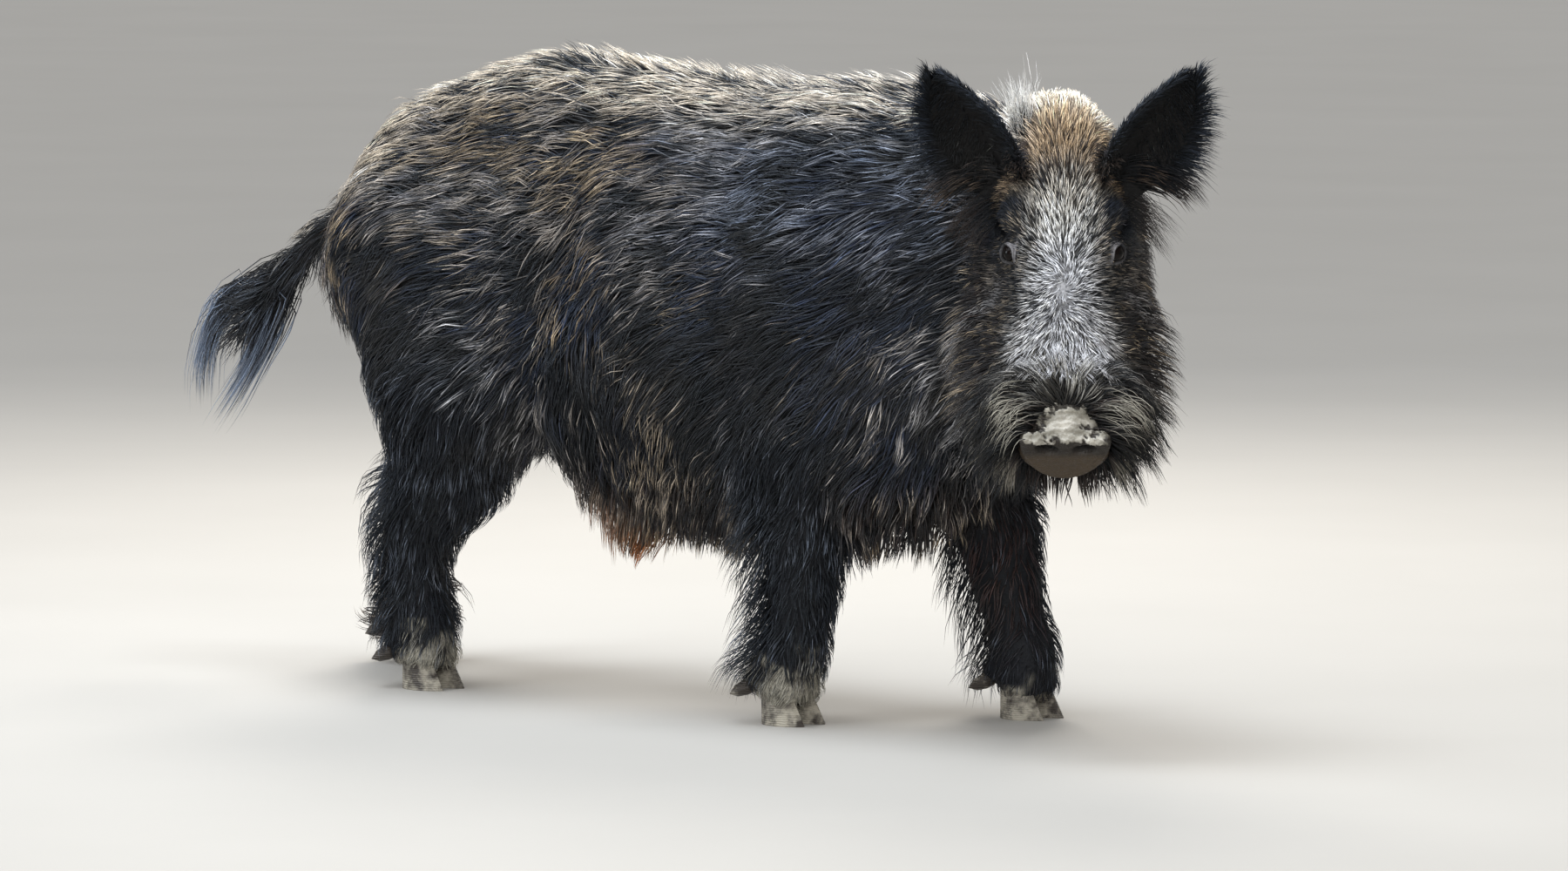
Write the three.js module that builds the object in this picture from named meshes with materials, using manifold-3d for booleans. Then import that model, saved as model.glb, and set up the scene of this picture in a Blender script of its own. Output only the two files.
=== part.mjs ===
// A young male wild boar in its winter coat, life size, walking slowly with its head turned to its right.
// Millimetres. +X points to the chest, +Y to the boar's left and +Z up; the floor is the plane z = 0.
// The outer surface is the outline of the coat. The body is one smooth shape, parted by thin cuts.
import * as THREE from "three";
import { mergeVertices } from "three/addons/utils/BufferGeometryUtils.js";
import Module from "manifold-3d";

const wasm = await Module();
wasm.setup();

// ---------- driving dimensions ----------

const GAP = 0.4; // left between two neighbouring pieces
const TRUNK_CELL = 47; // facet sizes of the three finenesses of surface
const LEG_CELL = 30;
const HEAD_CELL = 25;
const REACH = 1500; // longer than any cut through the body
const UP = new THREE.Vector3(0, 0, 1);

// The trunk from rump to breast: height of the back and of the belly, and half the width.
const TRUNK = [
  { x: -414, back: 606, belly: 490, half: 50 },
  { x: -392, back: 640, belly: 445, half: 90 },
  { x: -345, back: 672, belly: 402, half: 116 },
  { x: -250, back: 706, belly: 345, half: 138 },
  { x: -120, back: 738, belly: 292, half: 150 },
  { x: 0, back: 734, belly: 226, half: 158 },
  { x: 130, back: 722, belly: 198, half: 162 },
  { x: 260, back: 714, belly: 192, half: 158 },
  { x: 370, back: 708, belly: 200, half: 146 },
  { x: 450, back: 686, belly: 250, half: 122 },
  { x: 510, back: 640, belly: 330, half: 86 },
];
const TRUNK_SQUARENESS = 2.25; // exponent of the section: 2 is an ellipse
const BACK_NARROWING = 0.2; // how much narrower the section is at the back than at the belly

// The head in its own frame: +X' from the occiput to the snout, +Z' towards the forehead.
const HEAD_PLACE = [608, 0, 622];
const HEAD_TURN = THREE.MathUtils.degToRad(-50); // to the boar's right
const HEAD_DROP = THREE.MathUtils.degToRad(50); // snout down
const HEAD = [
  { x: -62, top: 62, under: -40, half: 46 },
  { x: -40, top: 100, under: -86, half: 70 },
  { x: 0, top: 122, under: -122, half: 82 },
  { x: 60, top: 116, under: -146, half: 88 },
  { x: 115, top: 97, under: -154, half: 89 },
  { x: 160, top: 80, under: -152, half: 91 },
  { x: 215, top: 60, under: -140, half: 103 },
  { x: 268, top: 48, under: -120, half: 106 },
  { x: 315, top: 42, under: -98, half: 92 },
  { x: 352, top: 37, under: -72, half: 64 },
  { x: 374, top: 33, under: -52, half: 50 },
];
const HEAD_SQUARENESS = 2.4;
const HEAD_CUT = { at: [610, 0, 620], normal: [0.853, -0.492, -0.174] };
const NECK_CUT = { at: [470, 0, 480], normal: [1, 0, 0.5] };
const FOREHEAD_NARROWING = 0.26;
const BROW = { at: [122, 42, 68], long: 30, r: 18 };
const EYE = { at: [144, 55, 54], r: 12, facets: [14, 10] };
const EAR = { base: [62, 68, 66], tip: [0, 140, 184], half: 52, wall: 9, cup: 30 };
const JAW = { hinge: 130, mouth: [370, -42], slope: 0.17 };
const DISC = { x: 371, z: -8, half: 46, tall: 31, thick: 13, nostril: 9, apart: 20 };

// Joints of the legs as [x, distance from the middle plane, z, radius with the coat].
const FORELEG = {
  right: [[318, 78, 470, 96], [332, 96, 320, 80], [328, 106, 210, 60], [327, 109, 150, 53],
    [321, 110, 100, 48], [312, 110, 62, 42], [308, 110, 38, 36]],
  left: [[352, 78, 470, 96], [402, 96, 320, 80], [434, 106, 210, 60], [446, 109, 150, 53],
    [460, 110, 100, 48], [471, 110, 62, 42], [475, 110, 38, 36]],
};
const HINDLEG = {
  right: [[-262, 74, 505, 122], [-196, 90, 350, 104], [-205, 98, 255, 72], [-260, 100, 178, 54],
    [-262, 100, 110, 48], [-252, 100, 66, 43], [-244, 100, 38, 36]],
  left: [[-275, 74, 505, 122], [-292, 90, 355, 102], [-372, 98, 262, 72], [-450, 100, 192, 53],
    [-446, 100, 116, 48], [-440, 100, 66, 43], [-436, 100, 38, 36]],
};
// The long hair behind the left foreleg, which hangs straight down from above the elbow.
const FEATHER = { from: [366, 98, 262], to: [344, 102, 66], r: [50, 19] };
const LEG_CUT_Z = 205; // between the upper and the lower part of each leg
const FOOT_CUT_Z = 36; // the coronet, where the hooves begin
const LEG_REACH = 95; // further than the coat of a leg reaches from its joints
const HAUNCH = { right: { x: -262, half: 128, top: 610, lean: 0.04 }, left: { x: -300, half: 128, top: 600, lean: 0.36 } };
const SHOULDER = { right: { x: 330, half: 104, top: 600, lean: -0.02 }, left: { x: 378, half: 104, top: 600, lean: -0.22 } };
const CORE_HALF = 46; // half the thickness of the trunk between its legs

const HOOF = { long: 62, wide: 34, tall: 35, apart: 33, toe: 20 };
const DEWCLAW = { long: 30, r: 9, apart: 44, back: 33, z: 44 };

// The tail's centreline as [x, y, z, radius with its hair].
const TAIL = [[-385, 0, 560, 27], [-434, -1, 543, 25], [-486, -3, 514, 25], [-536, -6, 474, 28], [-580, -12, 430, 30],
  [-618, -19, 378, 27], [-642, -26, 326, 17], [-652, -30, 288, 6]];
const TAIL_ROOT = 1; // where the tail leaves the rump
const TAIL_CUT = 4; // between the dock and the tuft
// The long hair under the belly, and the block that parts it from the trunk.
const BRUSH = { from: [14, 0, 262], to: [-34, 0, 168], r: [52, 9], low: [-84, -70], high: [74, 70], top: 236 };

// ---------- colours of the coat and horn ----------

const COLOURS = {
  coat: [0x3a3733, 0.85], pale_coat: [0x6b6459, 0.85], dark_coat: [0x1d1d20, 0.85],
  snout: [0x6f6a5e, 0.7], hoof: [0x2e2a26, 0.55], eye: [0x24150f, 0.12],
};
const material = Object.fromEntries(
  Object.entries(COLOURS).map(([name, [color, roughness]]) => [
    name,
    new THREE.MeshStandardMaterial({ name, color, roughness, metalness: 0 }),
  ]),
);

// ---------- fields: negative inside, about a distance in millimetres near the surface ----------

const clamp01 = (t) => Math.min(1, Math.max(0, t));

// The value of key at x, through the stations, on a smooth curve.
function along(stations, x, key) {
  const last = stations.length - 1;
  let i = 0;
  while (i < last - 1 && x > stations[i + 1].x) i++;
  const [a, b] = [stations[i], stations[i + 1]];
  const slope = (j) => {
    const [p, q] = [stations[Math.max(0, j - 1)], stations[Math.min(last, j + 1)]];
    return (q[key] - p[key]) / (q.x - p.x);
  };
  const span = b.x - a.x;
  const t = clamp01((x - a.x) / span);
  const [t2, t3] = [t * t, t * t * t];
  return (2 * t3 - 3 * t2 + 1) * a[key] + (t3 - 2 * t2 + t) * span * slope(i)
    + (3 * t2 - 2 * t3) * b[key] + (t3 - t2) * span * slope(i + 1);
}

// A long body of superelliptic sections along x, rounded off past its two ends.
function lofted(stations, high, low, squareness, narrowing) {
  const [first, last] = [stations[0].x, stations.at(-1).x];
  return (x, y, z) => {
    const at = Math.min(last, Math.max(first, x));
    const [up, down] = [along(stations, at, high), along(stations, at, low)];
    const [middle, tall] = [(up + down) / 2, (up - down) / 2];
    const rise = (z - middle) / tall;
    const wide = along(stations, at, "half") * (1 - narrowing * Math.max(-1, Math.min(1, rise)));
    const size = Math.min(wide, tall);
    const round = Math.hypot(Math.abs(x - at) / (0.5 * size),
      (Math.abs(y / wide) ** squareness + Math.abs(rise) ** squareness) ** (1 / squareness));
    return (round - 1) * size;
  };
}

// A cone with a ball at each end.
function roundCone(a, b, ra, rb) {
  const [dx, dy, dz] = [b[0] - a[0], b[1] - a[1], b[2] - a[2]];
  const length2 = dx * dx + dy * dy + dz * dz;
  return (x, y, z) => {
    const t = clamp01(((x - a[0]) * dx + (y - a[1]) * dy + (z - a[2]) * dz) / length2);
    return Math.hypot(x - a[0] - t * dx, y - a[1] - t * dy, z - a[2] - t * dz) - ra - t * (rb - ra);
  };
}

// Two fields joined with a fillet about as wide as blend.
function joined(f, g, blend) {
  return (x, y, z) => {
    const [a, b] = [f(x, y, z), g(x, y, z)];
    const h = Math.max(blend - Math.abs(a - b), 0) / blend;
    return Math.min(a, b) - (h * h * blend) / 4;
  };
}

const chain = (joints, side, blend) =>
  joints.slice(1).map((b, i) => {
    const a = joints[i];
    return roundCone([a[0], side * a[1], a[2]], [b[0], side * b[1], b[2]], a[3], b[3]);
  }).reduce((f, g) => joined(f, g, blend));

const headFrame = new THREE.Group();
headFrame.position.set(...HEAD_PLACE);
headFrame.rotation.set(0, HEAD_DROP, HEAD_TURN, "ZYX");
headFrame.updateMatrixWorld(true);
const toHead = headFrame.matrixWorld.clone().invert();

function inHeadFrame(field) {
  const p = new THREE.Vector3();
  return (x, y, z) => {
    p.set(x, y, z).applyMatrix4(toHead);
    return field(p.x, p.y, p.z);
  };
}

function inRowFrame(field) {
  const p = new THREE.Vector3();
  return (x, y, z) => {
    p.set(x, y, z).applyMatrix4(headFrame.matrixWorld);
    return field(p.x, p.y, p.z);
  };
}

const mirrored = ([x, y, z], side) => [x, side * y, z];

const skull = [-1, 1].reduce((field, side) => {
  const [x, y, z] = mirrored(BROW.at, side);
  return joined(field, roundCone([x - BROW.long, y * 1.1, z], [x + BROW.long, y, z - 12], BROW.r, BROW.r * 0.7), 26);
}, lofted(HEAD, "top", "under", HEAD_SQUARENESS, FOREHEAD_NARROWING));

const neck = joined(
  roundCone([330, 0, 556], [590, 0, 600], 132, 98),
  roundCone([400, 0, 400], [584, -8, 520], 138, 88), 60);

const legs = [
  chain(FORELEG.right, -1, 26), chain(FORELEG.left, 1, 26),
  chain(HINDLEG.right, -1, 26), chain(HINDLEG.left, 1, 26),
];

const stump = roundCone(TAIL[0].slice(0, 3), TAIL[1].slice(0, 3), TAIL[0][3], TAIL[1][3]);
const feather = roundCone(FEATHER.from, FEATHER.to, ...FEATHER.r);
const trunkField = [roundCone(BRUSH.from, BRUSH.to, ...BRUSH.r), stump, feather].reduce(
  (field, part) => joined(field, part, 30),
  lofted(TRUNK, "back", "belly", TRUNK_SQUARENESS, BACK_NARROWING));
const body = joined(
  legs.reduce((field, leg) => joined(field, leg, 44), joined(trunkField, neck, 70)),
  inHeadFrame(skull), 40);

// ---------- surfaces and solids ----------

// The closed surface where the field is 0, with one vertex in each cell that the surface crosses.
function surfaceOf(field, low, high, cell) {
  const count = low.map((l, i) => Math.ceil((high[i] - l) / cell) + 1);
  const step = [1, count[0], count[0] * count[1]];
  const values = new Float64Array(count[0] * count[1] * count[2]);
  const place = (i, j, k) => [low[0] + i * cell, low[1] + j * cell, low[2] + k * cell];
  const inside = (c, i) => c > 0 && c < count[i] - 1;
  const each = (visit) => {
    for (let k = 0; k < count[2]; k++)
      for (let j = 0; j < count[1]; j++)
        for (let i = 0; i < count[0]; i++) visit([i, j, k], i + j * step[1] + k * step[2]);
  };
  each((c, n) => {
    values[n] = c.every(inside) ? field(...place(...c)) : cell;
  });
  const vertexOf = new Map();
  const points = [];
  each((c, n) => {
    if (!c.every((v, i) => v < count[i] - 1)) return;
    const sum = [0, 0, 0];
    let crossings = 0;
    for (let axis = 0; axis < 3; axis++) {
      const [u, v] = [(axis + 1) % 3, (axis + 2) % 3];
      for (const [du, dv] of [[0, 0], [1, 0], [0, 1], [1, 1]]) {
        const from = n + du * step[u] + dv * step[v];
        const [a, b] = [values[from], values[from + step[axis]]];
        if (a < 0 === b < 0) continue;
        const corner = [0, 0, 0];
        corner[u] = du;
        corner[v] = dv;
        corner[axis] = a / (a - b);
        sum.forEach((_, i) => (sum[i] += corner[i]));
        crossings++;
      }
    }
    if (!crossings) return;
    vertexOf.set(n, points.length / 3);
    points.push(...settled(field, c.map((v, i) => low[i] + cell * (v + sum[i] / crossings)), cell));
  });
  const triangles = [];
  each((c, n) => {
    for (let axis = 0; axis < 3; axis++) {
      const [u, v] = [(axis + 1) % 3, (axis + 2) % 3];
      if (c[axis] > count[axis] - 2 || c[u] < 1 || c[v] < 1) continue;
      const [a, b] = [values[n] < 0, values[n + step[axis]] < 0];
      if (a === b) continue;
      const ring = [n, n - step[u], n - step[u] - step[v], n - step[v]].map((m) => vertexOf.get(m));
      triangles.push(...quad(points, a ? ring : ring.reverse()));
    }
  });
  const geometry = new THREE.BufferGeometry();
  geometry.setAttribute("position", new THREE.BufferAttribute(new Float32Array(points), 3));
  geometry.setIndex(triangles);
  return geometry;
}

// The point moved onto the surface along the field's slope, by less than half a cell.
function settled(field, point, cell) {
  const h = cell / 20;
  const value = field(...point);
  const slope = point.map((_, i) => {
    const q = [...point];
    q[i] += h;
    return (field(...q) - value) / h;
  });
  const square = slope.reduce((s, g) => s + g * g, 1e-9);
  const share = Math.max(-cell / 2, Math.min(cell / 2, value / Math.sqrt(square))) / Math.sqrt(square);
  return point.map((p, i) => p - slope[i] * share);
}

// Two triangles for a quad, split along its shorter diagonal.
function quad(points, [a, b, c, d]) {
  const apart = (m, n) => Math.hypot(...[0, 1, 2].map((i) => points[3 * m + i] - points[3 * n + i]));
  return apart(a, c) < apart(b, d) ? [a, b, c, a, c, d] : [a, b, d, b, c, d];
}

function solidOf(geometry) {
  const bare = geometry.clone();
  for (const name of Object.keys(bare.attributes)) if (name !== "position") bare.deleteAttribute(name);
  const merged = mergeVertices(bare, 1e-3);
  return new wasm.Manifold(new wasm.Mesh({
    numProp: 3,
    vertProperties: merged.attributes.position.array,
    triVerts: new Uint32Array(merged.index.array),
  }));
}

// The biggest piece of a solid as a mesh, without the crumbs that a cut can leave.
function meshOf(solid, name, finish) {
  const whole = solid.decompose().sort((a, b) => b.volume() - a.volume())[0];
  const { numProp, vertProperties, triVerts } = whole.getMesh();
  const geometry = new THREE.BufferGeometry();
  geometry.setAttribute("position", new THREE.BufferAttribute(new Float32Array(vertProperties), numProp));
  geometry.setIndex(new THREE.BufferAttribute(triVerts, 1));
  const mesh = new THREE.Mesh(geometry, finish);
  mesh.name = name;
  return mesh;
}

// A block whose near face has its middle at the point, and which lies in the direction given.
function blockFrom(point, direction, wide = REACH) {
  const box = new THREE.BoxGeometry(wide, wide, wide).translate(0, 0, wide / 2);
  const turn = new THREE.Quaternion().setFromUnitVectors(UP, direction.clone().normalize());
  return solidOf(box.applyQuaternion(turn).translate(...point));
}

// What lies ahead of a plane and behind it, with the gap between them.
function parted(solid, point, direction, wide = REACH) {
  const shift = direction.clone().normalize().multiplyScalar(GAP / 2);
  const moved = (way) => point.map((p, i) => p + way * shift.getComponent(i));
  return {
    behind: solid.subtract(blockFrom(moved(-1), direction, wide)),
    ahead: solid.subtract(blockFrom(moved(1), direction.clone().negate(), wide)),
  };
}

// A stack of rings of the same even length, closed at both ends by a strip from side to side.
function stacked(rings) {
  const size = rings[0].length;
  const index = [];
  rings.slice(1).forEach((_, r) => {
    for (let i = 0; i < size; i++) {
      const [a, b] = [r * size + i, r * size + ((i + 1) % size)];
      index.push(a, b, b + size, a, b + size, a + size);
    }
  });
  const top = (rings.length - 1) * size;
  for (let i = 0; i < size / 2 - 1; i++) {
    const [a, b, c, d] = [i, i + 1, size - 2 - i, size - 1 - i];
    index.push(a, c, b, a, d, c, top + a, top + b, top + c, top + a, top + c, top + d);
  }
  const geometry = new THREE.BufferGeometry().setFromPoints(rings.flat());
  return facingOut(geometry.setIndex(index));
}

// The geometry with its triangles turned round if they face inwards.
function facingOut(geometry) {
  const index = geometry.index.array;
  const corner = (i) => new THREE.Vector3().fromBufferAttribute(geometry.attributes.position, index[i]);
  let volume = 0;
  for (let i = 0; i < index.length; i += 3) volume += corner(i).dot(corner(i + 1).cross(corner(i + 2)));
  if (volume < 0)
    for (let i = 0; i < index.length; i += 3) [index[i], index[i + 1]] = [index[i + 1], index[i]];
  return geometry;
}

// ---------- trunk, neck and upper legs ----------

// The outline of an upper leg seen from the side, with a round top, as a block that cuts it out of the flank.
function legBlock({ x, half, top, lean }, side, grow) {
  const reach = half + grow;
  const shape = new THREE.Shape();
  shape.moveTo(-reach, 0);
  shape.lineTo(reach, 0);
  shape.lineTo(reach, top - half);
  shape.absarc(0, top - half, reach, 0, Math.PI, false);
  shape.closePath();
  const block = new THREE.ExtrudeGeometry(shape, { depth: REACH / 3, bevelEnabled: false, curveSegments: 12 });
  block.translate(0, 0, CORE_HALF - grow).rotateX(Math.PI / 2);
  if (side > 0) block.rotateZ(Math.PI);
  const leaning = new THREE.Matrix4().makeShear(0, 0, 0, 0, lean, 0);
  block.translate(0, 0, half - top).applyMatrix4(leaning).translate(x, 0, top - half);
  return solidOf(block);
}

const boar = new THREE.Group();
const FORWARD = new THREE.Vector3(1, 0, 0);
const rough = solidOf(surfaceOf(body, [-570, -262, 128], [730, 262, 800], TRUNK_CELL));
const flank = parted(rough, NECK_CUT.at, new THREE.Vector3(...NECK_CUT.normal));
boar.add(meshOf(parted(flank.ahead, HEAD_CUT.at, new THREE.Vector3(...HEAD_CUT.normal)).behind, "neck", material.coat));

const limbs = [
  { name: "front_right", upper: "shoulder_right", joints: FORELEG.right, outline: SHOULDER.right, side: -1 },
  { name: "front_left", upper: "shoulder_left", joints: FORELEG.left, outline: SHOULDER.left, side: 1 },
  { name: "hind_right", upper: "haunch_right", joints: HINDLEG.right, outline: HAUNCH.right, side: -1 },
  { name: "hind_left", upper: "haunch_left", joints: HINDLEG.left, outline: HAUNCH.left, side: 1 },
];
const brushBlock = (grow) => {
  const { low, high, top } = BRUSH;
  const box = new THREE.BoxGeometry(high[0] - low[0] + 2 * grow, high[1] - low[1] + 2 * grow, top);
  return solidOf(box.translate((high[0] + low[0]) / 2, (high[1] + low[1]) / 2, top / 2 + grow));
};
const belly = solidOf(surfaceOf(body, [...BRUSH.low, BRUSH.to[2] - 2 * LEG_CELL].map((v) => v - LEG_CELL),
  [...BRUSH.high, BRUSH.top + LEG_CELL].map((v) => v + LEG_CELL), LEG_CELL));
boar.add(meshOf(belly.intersect(brushBlock(0)), "belly_brush", material.pale_coat));
let core = flank.behind.subtract(brushBlock(GAP));
for (const { upper, outline, side } of limbs) {
  const cut = parted(flank.behind.intersect(legBlock(outline, side, 0)), [0, 0, LEG_CUT_Z], UP);
  boar.add(meshOf(cut.ahead, upper, material.coat));
  core = core.subtract(legBlock(outline, side, GAP));
}

// ---------- tail ----------

const tailPoints = TAIL.map(([x, y, z]) => new THREE.Vector3(x, y, z));
const tailWay = (i) => tailPoints[Math.min(i + 1, TAIL.length - 1)].clone().sub(tailPoints[Math.max(i - 1, 0)]).normalize();

function tailRing(i) {
  const across = new THREE.Vector3(0, 1, 0);
  const over = tailWay(i).cross(across).normalize();
  const sides = 10;
  return Array.from({ length: sides }, (_, s) => {
    const turn = (2 * Math.PI * s) / sides;
    return tailPoints[i].clone()
      .addScaledVector(across, 0.8 * TAIL[i][3] * Math.cos(turn))
      .addScaledVector(over, TAIL[i][3] * Math.sin(turn));
  });
}

const tail = solidOf(stacked(TAIL.map((_, i) => tailRing(i))));
const [rootAt, jointAt] = [TAIL[TAIL_ROOT], TAIL[TAIL_CUT]].map((joint) => joint.slice(0, 3));
const dock = parted(parted(tail, rootAt, tailWay(TAIL_ROOT)).ahead, jointAt, tailWay(TAIL_CUT)).behind;
boar.add(meshOf(dock, "tail_dock", material.coat));
boar.add(meshOf(parted(tail, jointAt, tailWay(TAIL_CUT)).ahead, "tail_tuft", material.dark_coat));
core = parted(core, rootAt, tailWay(TAIL_ROOT), 4 * TAIL[TAIL_ROOT][3]).behind;
boar.add(meshOf(core, "trunk", material.coat));

// ---------- lower legs and feet ----------

// Half of a cloven hoof: a flat sole, a toe that slopes back as it rises, and a straight inner wall.
function hoofGeometry() {
  const { long, wide, tall, toe } = HOOF;
  const levels = [0, 0.4, 1];
  const outline = 12;
  return stacked(levels.map((level) => {
    const back = toe * level;
    const narrow = 1 - 0.16 * level;
    return Array.from({ length: outline }, (_, i) => {
      const turn = (2 * Math.PI * i) / outline;
      const pointed = Math.cos(turn) > 0 ? 1 - 0.35 * Math.cos(turn) ** 2 : 1;
      const out = Math.sin(turn) > 0 ? 1 : 0.72;
      const x = Math.cos(turn) * (long / 2) - (Math.cos(turn) + 1) * 0.5 * back;
      return new THREE.Vector3(x, (Math.sin(turn) * out * pointed * narrow * wide) / 2, level * tall);
    });
  }));
}

// A dewclaw: a blunt cone that points down and back.
function dewclawGeometry() {
  const { long, r } = DEWCLAW;
  const profile = [[0, 0], [0.9 * r, 0], [r, 0.3 * long], [0.75 * r, 0.7 * long], [0, long]];
  return new THREE.LatheGeometry(profile.map(([x, y]) => new THREE.Vector2(x, y)), 8);
}

function foot(name, joints, side) {
  const [x, y] = [joints.at(-1)[0], side * joints.at(-1)[1]];
  const group = new THREE.Group();
  group.position.set(x, y, 0);
  for (const [place, way] of [["outer", side], ["inner", -side]]) {
    const hoof = new THREE.Mesh(hoofGeometry(), material.hoof);
    hoof.name = `hoof_${name}_${place}`;
    hoof.position.set(HOOF.long * 0.12, (way * HOOF.apart) / 2, 0);
    if (way < 0) facingOut(hoof.geometry.scale(1, -1, 1));
    hoof.rotation.z = way * 0.05;
    const claw = new THREE.Mesh(dewclawGeometry(), material.hoof);
    claw.name = `dewclaw_${name}_${place}`;
    claw.position.set(-DEWCLAW.back, (way * DEWCLAW.apart) / 2, DEWCLAW.z);
    claw.rotation.set(way * 0.35, 0, 2.55, "ZXY");
    group.add(hoof, claw);
  }
  return group;
}

for (const { name, joints, outline, side } of limbs) {
  const low = joints.filter((joint) => joint[2] < LEG_CUT_Z + 120);
  const [xs, ys] = [low.map((joint) => joint[0]), low.map((joint) => side * joint[1])];
  const from = [Math.min(...xs) - LEG_REACH, Math.min(...ys) - LEG_REACH, -LEG_CELL];
  const to = [Math.max(...xs) + LEG_REACH, Math.max(...ys) + LEG_REACH, LEG_CUT_Z + 3 * LEG_CELL];
  const leg = solidOf(surfaceOf(body, from, to, LEG_CELL)).intersect(legBlock(outline, side, 0));
  let shank = parted(parted(leg, [0, 0, LEG_CUT_Z], UP).behind, [0, 0, FOOT_CUT_Z], UP).ahead;
  const feet = foot(name, joints, side);
  feet.updateMatrixWorld(true);
  for (const claw of feet.children.filter((mesh) => mesh.name.startsWith("dewclaw"))) {
    const grown = claw.geometry.clone().scale(1 + GAP / DEWCLAW.r, 1, 1 + GAP / DEWCLAW.r);
    shank = shank.subtract(solidOf(grown.applyMatrix4(claw.matrixWorld)));
  }
  boar.add(meshOf(shank, `lower_leg_${name}`, material.dark_coat), feet);
}

// ---------- head ----------

// A plane of the row frame as it stands in the head's frame.
const planeInHead = ({ at, normal }) => [
  new THREE.Vector3(...at).applyMatrix4(toHead).toArray(),
  new THREE.Vector3(...normal).transformDirection(toHead),
];

// The ear: a leaf curled lengthwise into a cup, open to the front and outwards.
function earGeometry(side, grow) {
  const { base, tip, half, wall, cup } = EAR;
  const root = new THREE.Vector3(...mirrored(base, side));
  const end = new THREE.Vector3(...mirrored(tip, side));
  const up = end.clone().sub(root);
  const out = new THREE.Vector3(0.62, side * 0.3, 0.1).normalize(); // where the cup opens
  const face = out.clone().addScaledVector(up, -out.dot(up) / up.lengthSq()).normalize();
  const across = up.clone().normalize().cross(face).multiplyScalar(side);
  const levels = [-0.14 - grow / 60, 0.02, 0.18, 0.36, 0.54, 0.72, 0.87, 0.97];
  const columns = 7;
  const leaf = (u, v, lift) => {
    const width = half * (u < 0.36 ? 0.66 + 0.34 * Math.sin((Math.max(u, 0) / 0.36) * 1.571) : Math.cos(((u - 0.36) / 0.64) * 1.46) ** 0.8);
    const curl = cup * (1 - v * v) * (width / half) * (1 - 0.25 * u);
    return root.clone().addScaledVector(up, u)
      .addScaledVector(across, v * width + (Math.trunc(v) * grow) / 2 + 6 * u)
      .addScaledVector(face, -curl + lift - 10 * u * u);
  };
  return stacked(levels.map((u) => {
    const thick = wall * (1 - 0.45 * Math.max(0, u)) / 2 + grow;
    const front = Array.from({ length: columns }, (_, i) => leaf(u, -1 + (2 * i) / (columns - 1), thick));
    const back = Array.from({ length: columns }, (_, i) => leaf(u, 1 - (2 * i) / (columns - 1), -thick));
    return [...front, ...back];
  }));
}

// The snout disc, rounded at its rim, with two nostrils.
function discSolid() {
  const { x, z, half, tall, thick, nostril, apart } = DISC;
  const layers = [[0, 0.94], [0.25, 1], [0.7, 0.99], [1, 0.86]];
  const disc = solidOf(stacked(layers.map(([depth, size]) =>
    Array.from({ length: 26 }, (_, i) => {
      const turn = (2 * Math.PI * i) / 26;
      const round = (v) => Math.sign(v) * Math.abs(v) ** 0.88;
      return new THREE.Vector3(x + thick * depth, half * size * round(Math.cos(turn)), z + tall * size * round(Math.sin(turn)));
    }))));
  return [-1, 1].reduce((solid, side) => {
    const hole = new THREE.SphereGeometry(nostril, 10, 6).scale(1.1, 1, 0.72);
    return solid.subtract(solidOf(hole.translate(x + thick, side * apart, z + 3)));
  }, disc);
}

const headGroup = new THREE.Group();
headGroup.position.copy(headFrame.position);
headGroup.rotation.copy(headFrame.rotation);
const headSkin = surfaceOf(inRowFrame(body), [-150, -170, -205], [430, 170, 165], HEAD_CELL);
let face = parted(parted(solidOf(headSkin), ...planeInHead(HEAD_CUT)).ahead, ...planeInHead(NECK_CUT)).ahead;
face = face.subtract(blockFrom([DISC.x - GAP, 0, 0], FORWARD));
for (const side of [-1, 1]) {
  const name = side < 0 ? "right" : "left";
  face = face.subtract(solidOf(new THREE.SphereGeometry(EYE.r + GAP, ...EYE.facets).translate(...mirrored(EYE.at, side))));
  face = face.subtract(solidOf(earGeometry(side, 2 * GAP)));
  const eye = new THREE.Mesh(new THREE.SphereGeometry(EYE.r, ...EYE.facets), material.eye);
  eye.name = `eye_${name}`;
  eye.position.set(...mirrored(EYE.at, side));
  headGroup.add(eye, meshOf(solidOf(earGeometry(side, 0)), `ear_${name}`, material.dark_coat));
}
const jawWay = new THREE.Vector3(JAW.slope, 0, 1);
const jawBlock = parted(solidOf(new THREE.BoxGeometry(REACH, REACH, REACH).translate(REACH / 2 + JAW.hinge, 0, 0)),
  [JAW.mouth[0], 0, JAW.mouth[1]], jawWay).behind;
const grownJaw = parted(solidOf(new THREE.BoxGeometry(REACH, REACH, REACH).translate(REACH / 2 + JAW.hinge - GAP, 0, 0)),
  [JAW.mouth[0], 0, JAW.mouth[1] + GAP], jawWay).behind;
headGroup.add(
  meshOf(face.subtract(grownJaw), "head", material.coat),
  meshOf(face.intersect(jawBlock), "lower_jaw", material.pale_coat),
  meshOf(discSolid(), "snout_disc", material.snout),
);
boar.add(headGroup);

// The origin: on the floor under the middle of the whole model.
const extent = new THREE.Box3().setFromObject(boar, true);
boar.position.set(-(extent.min.x + extent.max.x) / 2, -(extent.min.y + extent.max.y) / 2, 0);

export default boar;
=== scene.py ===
"""A still, life-size wild boar: skin, coat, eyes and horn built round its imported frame.

Inside, sizes are millimetres in the boar's own frame: +X ahead, +Y its left, +Z up, floor at 0.
"""

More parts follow.
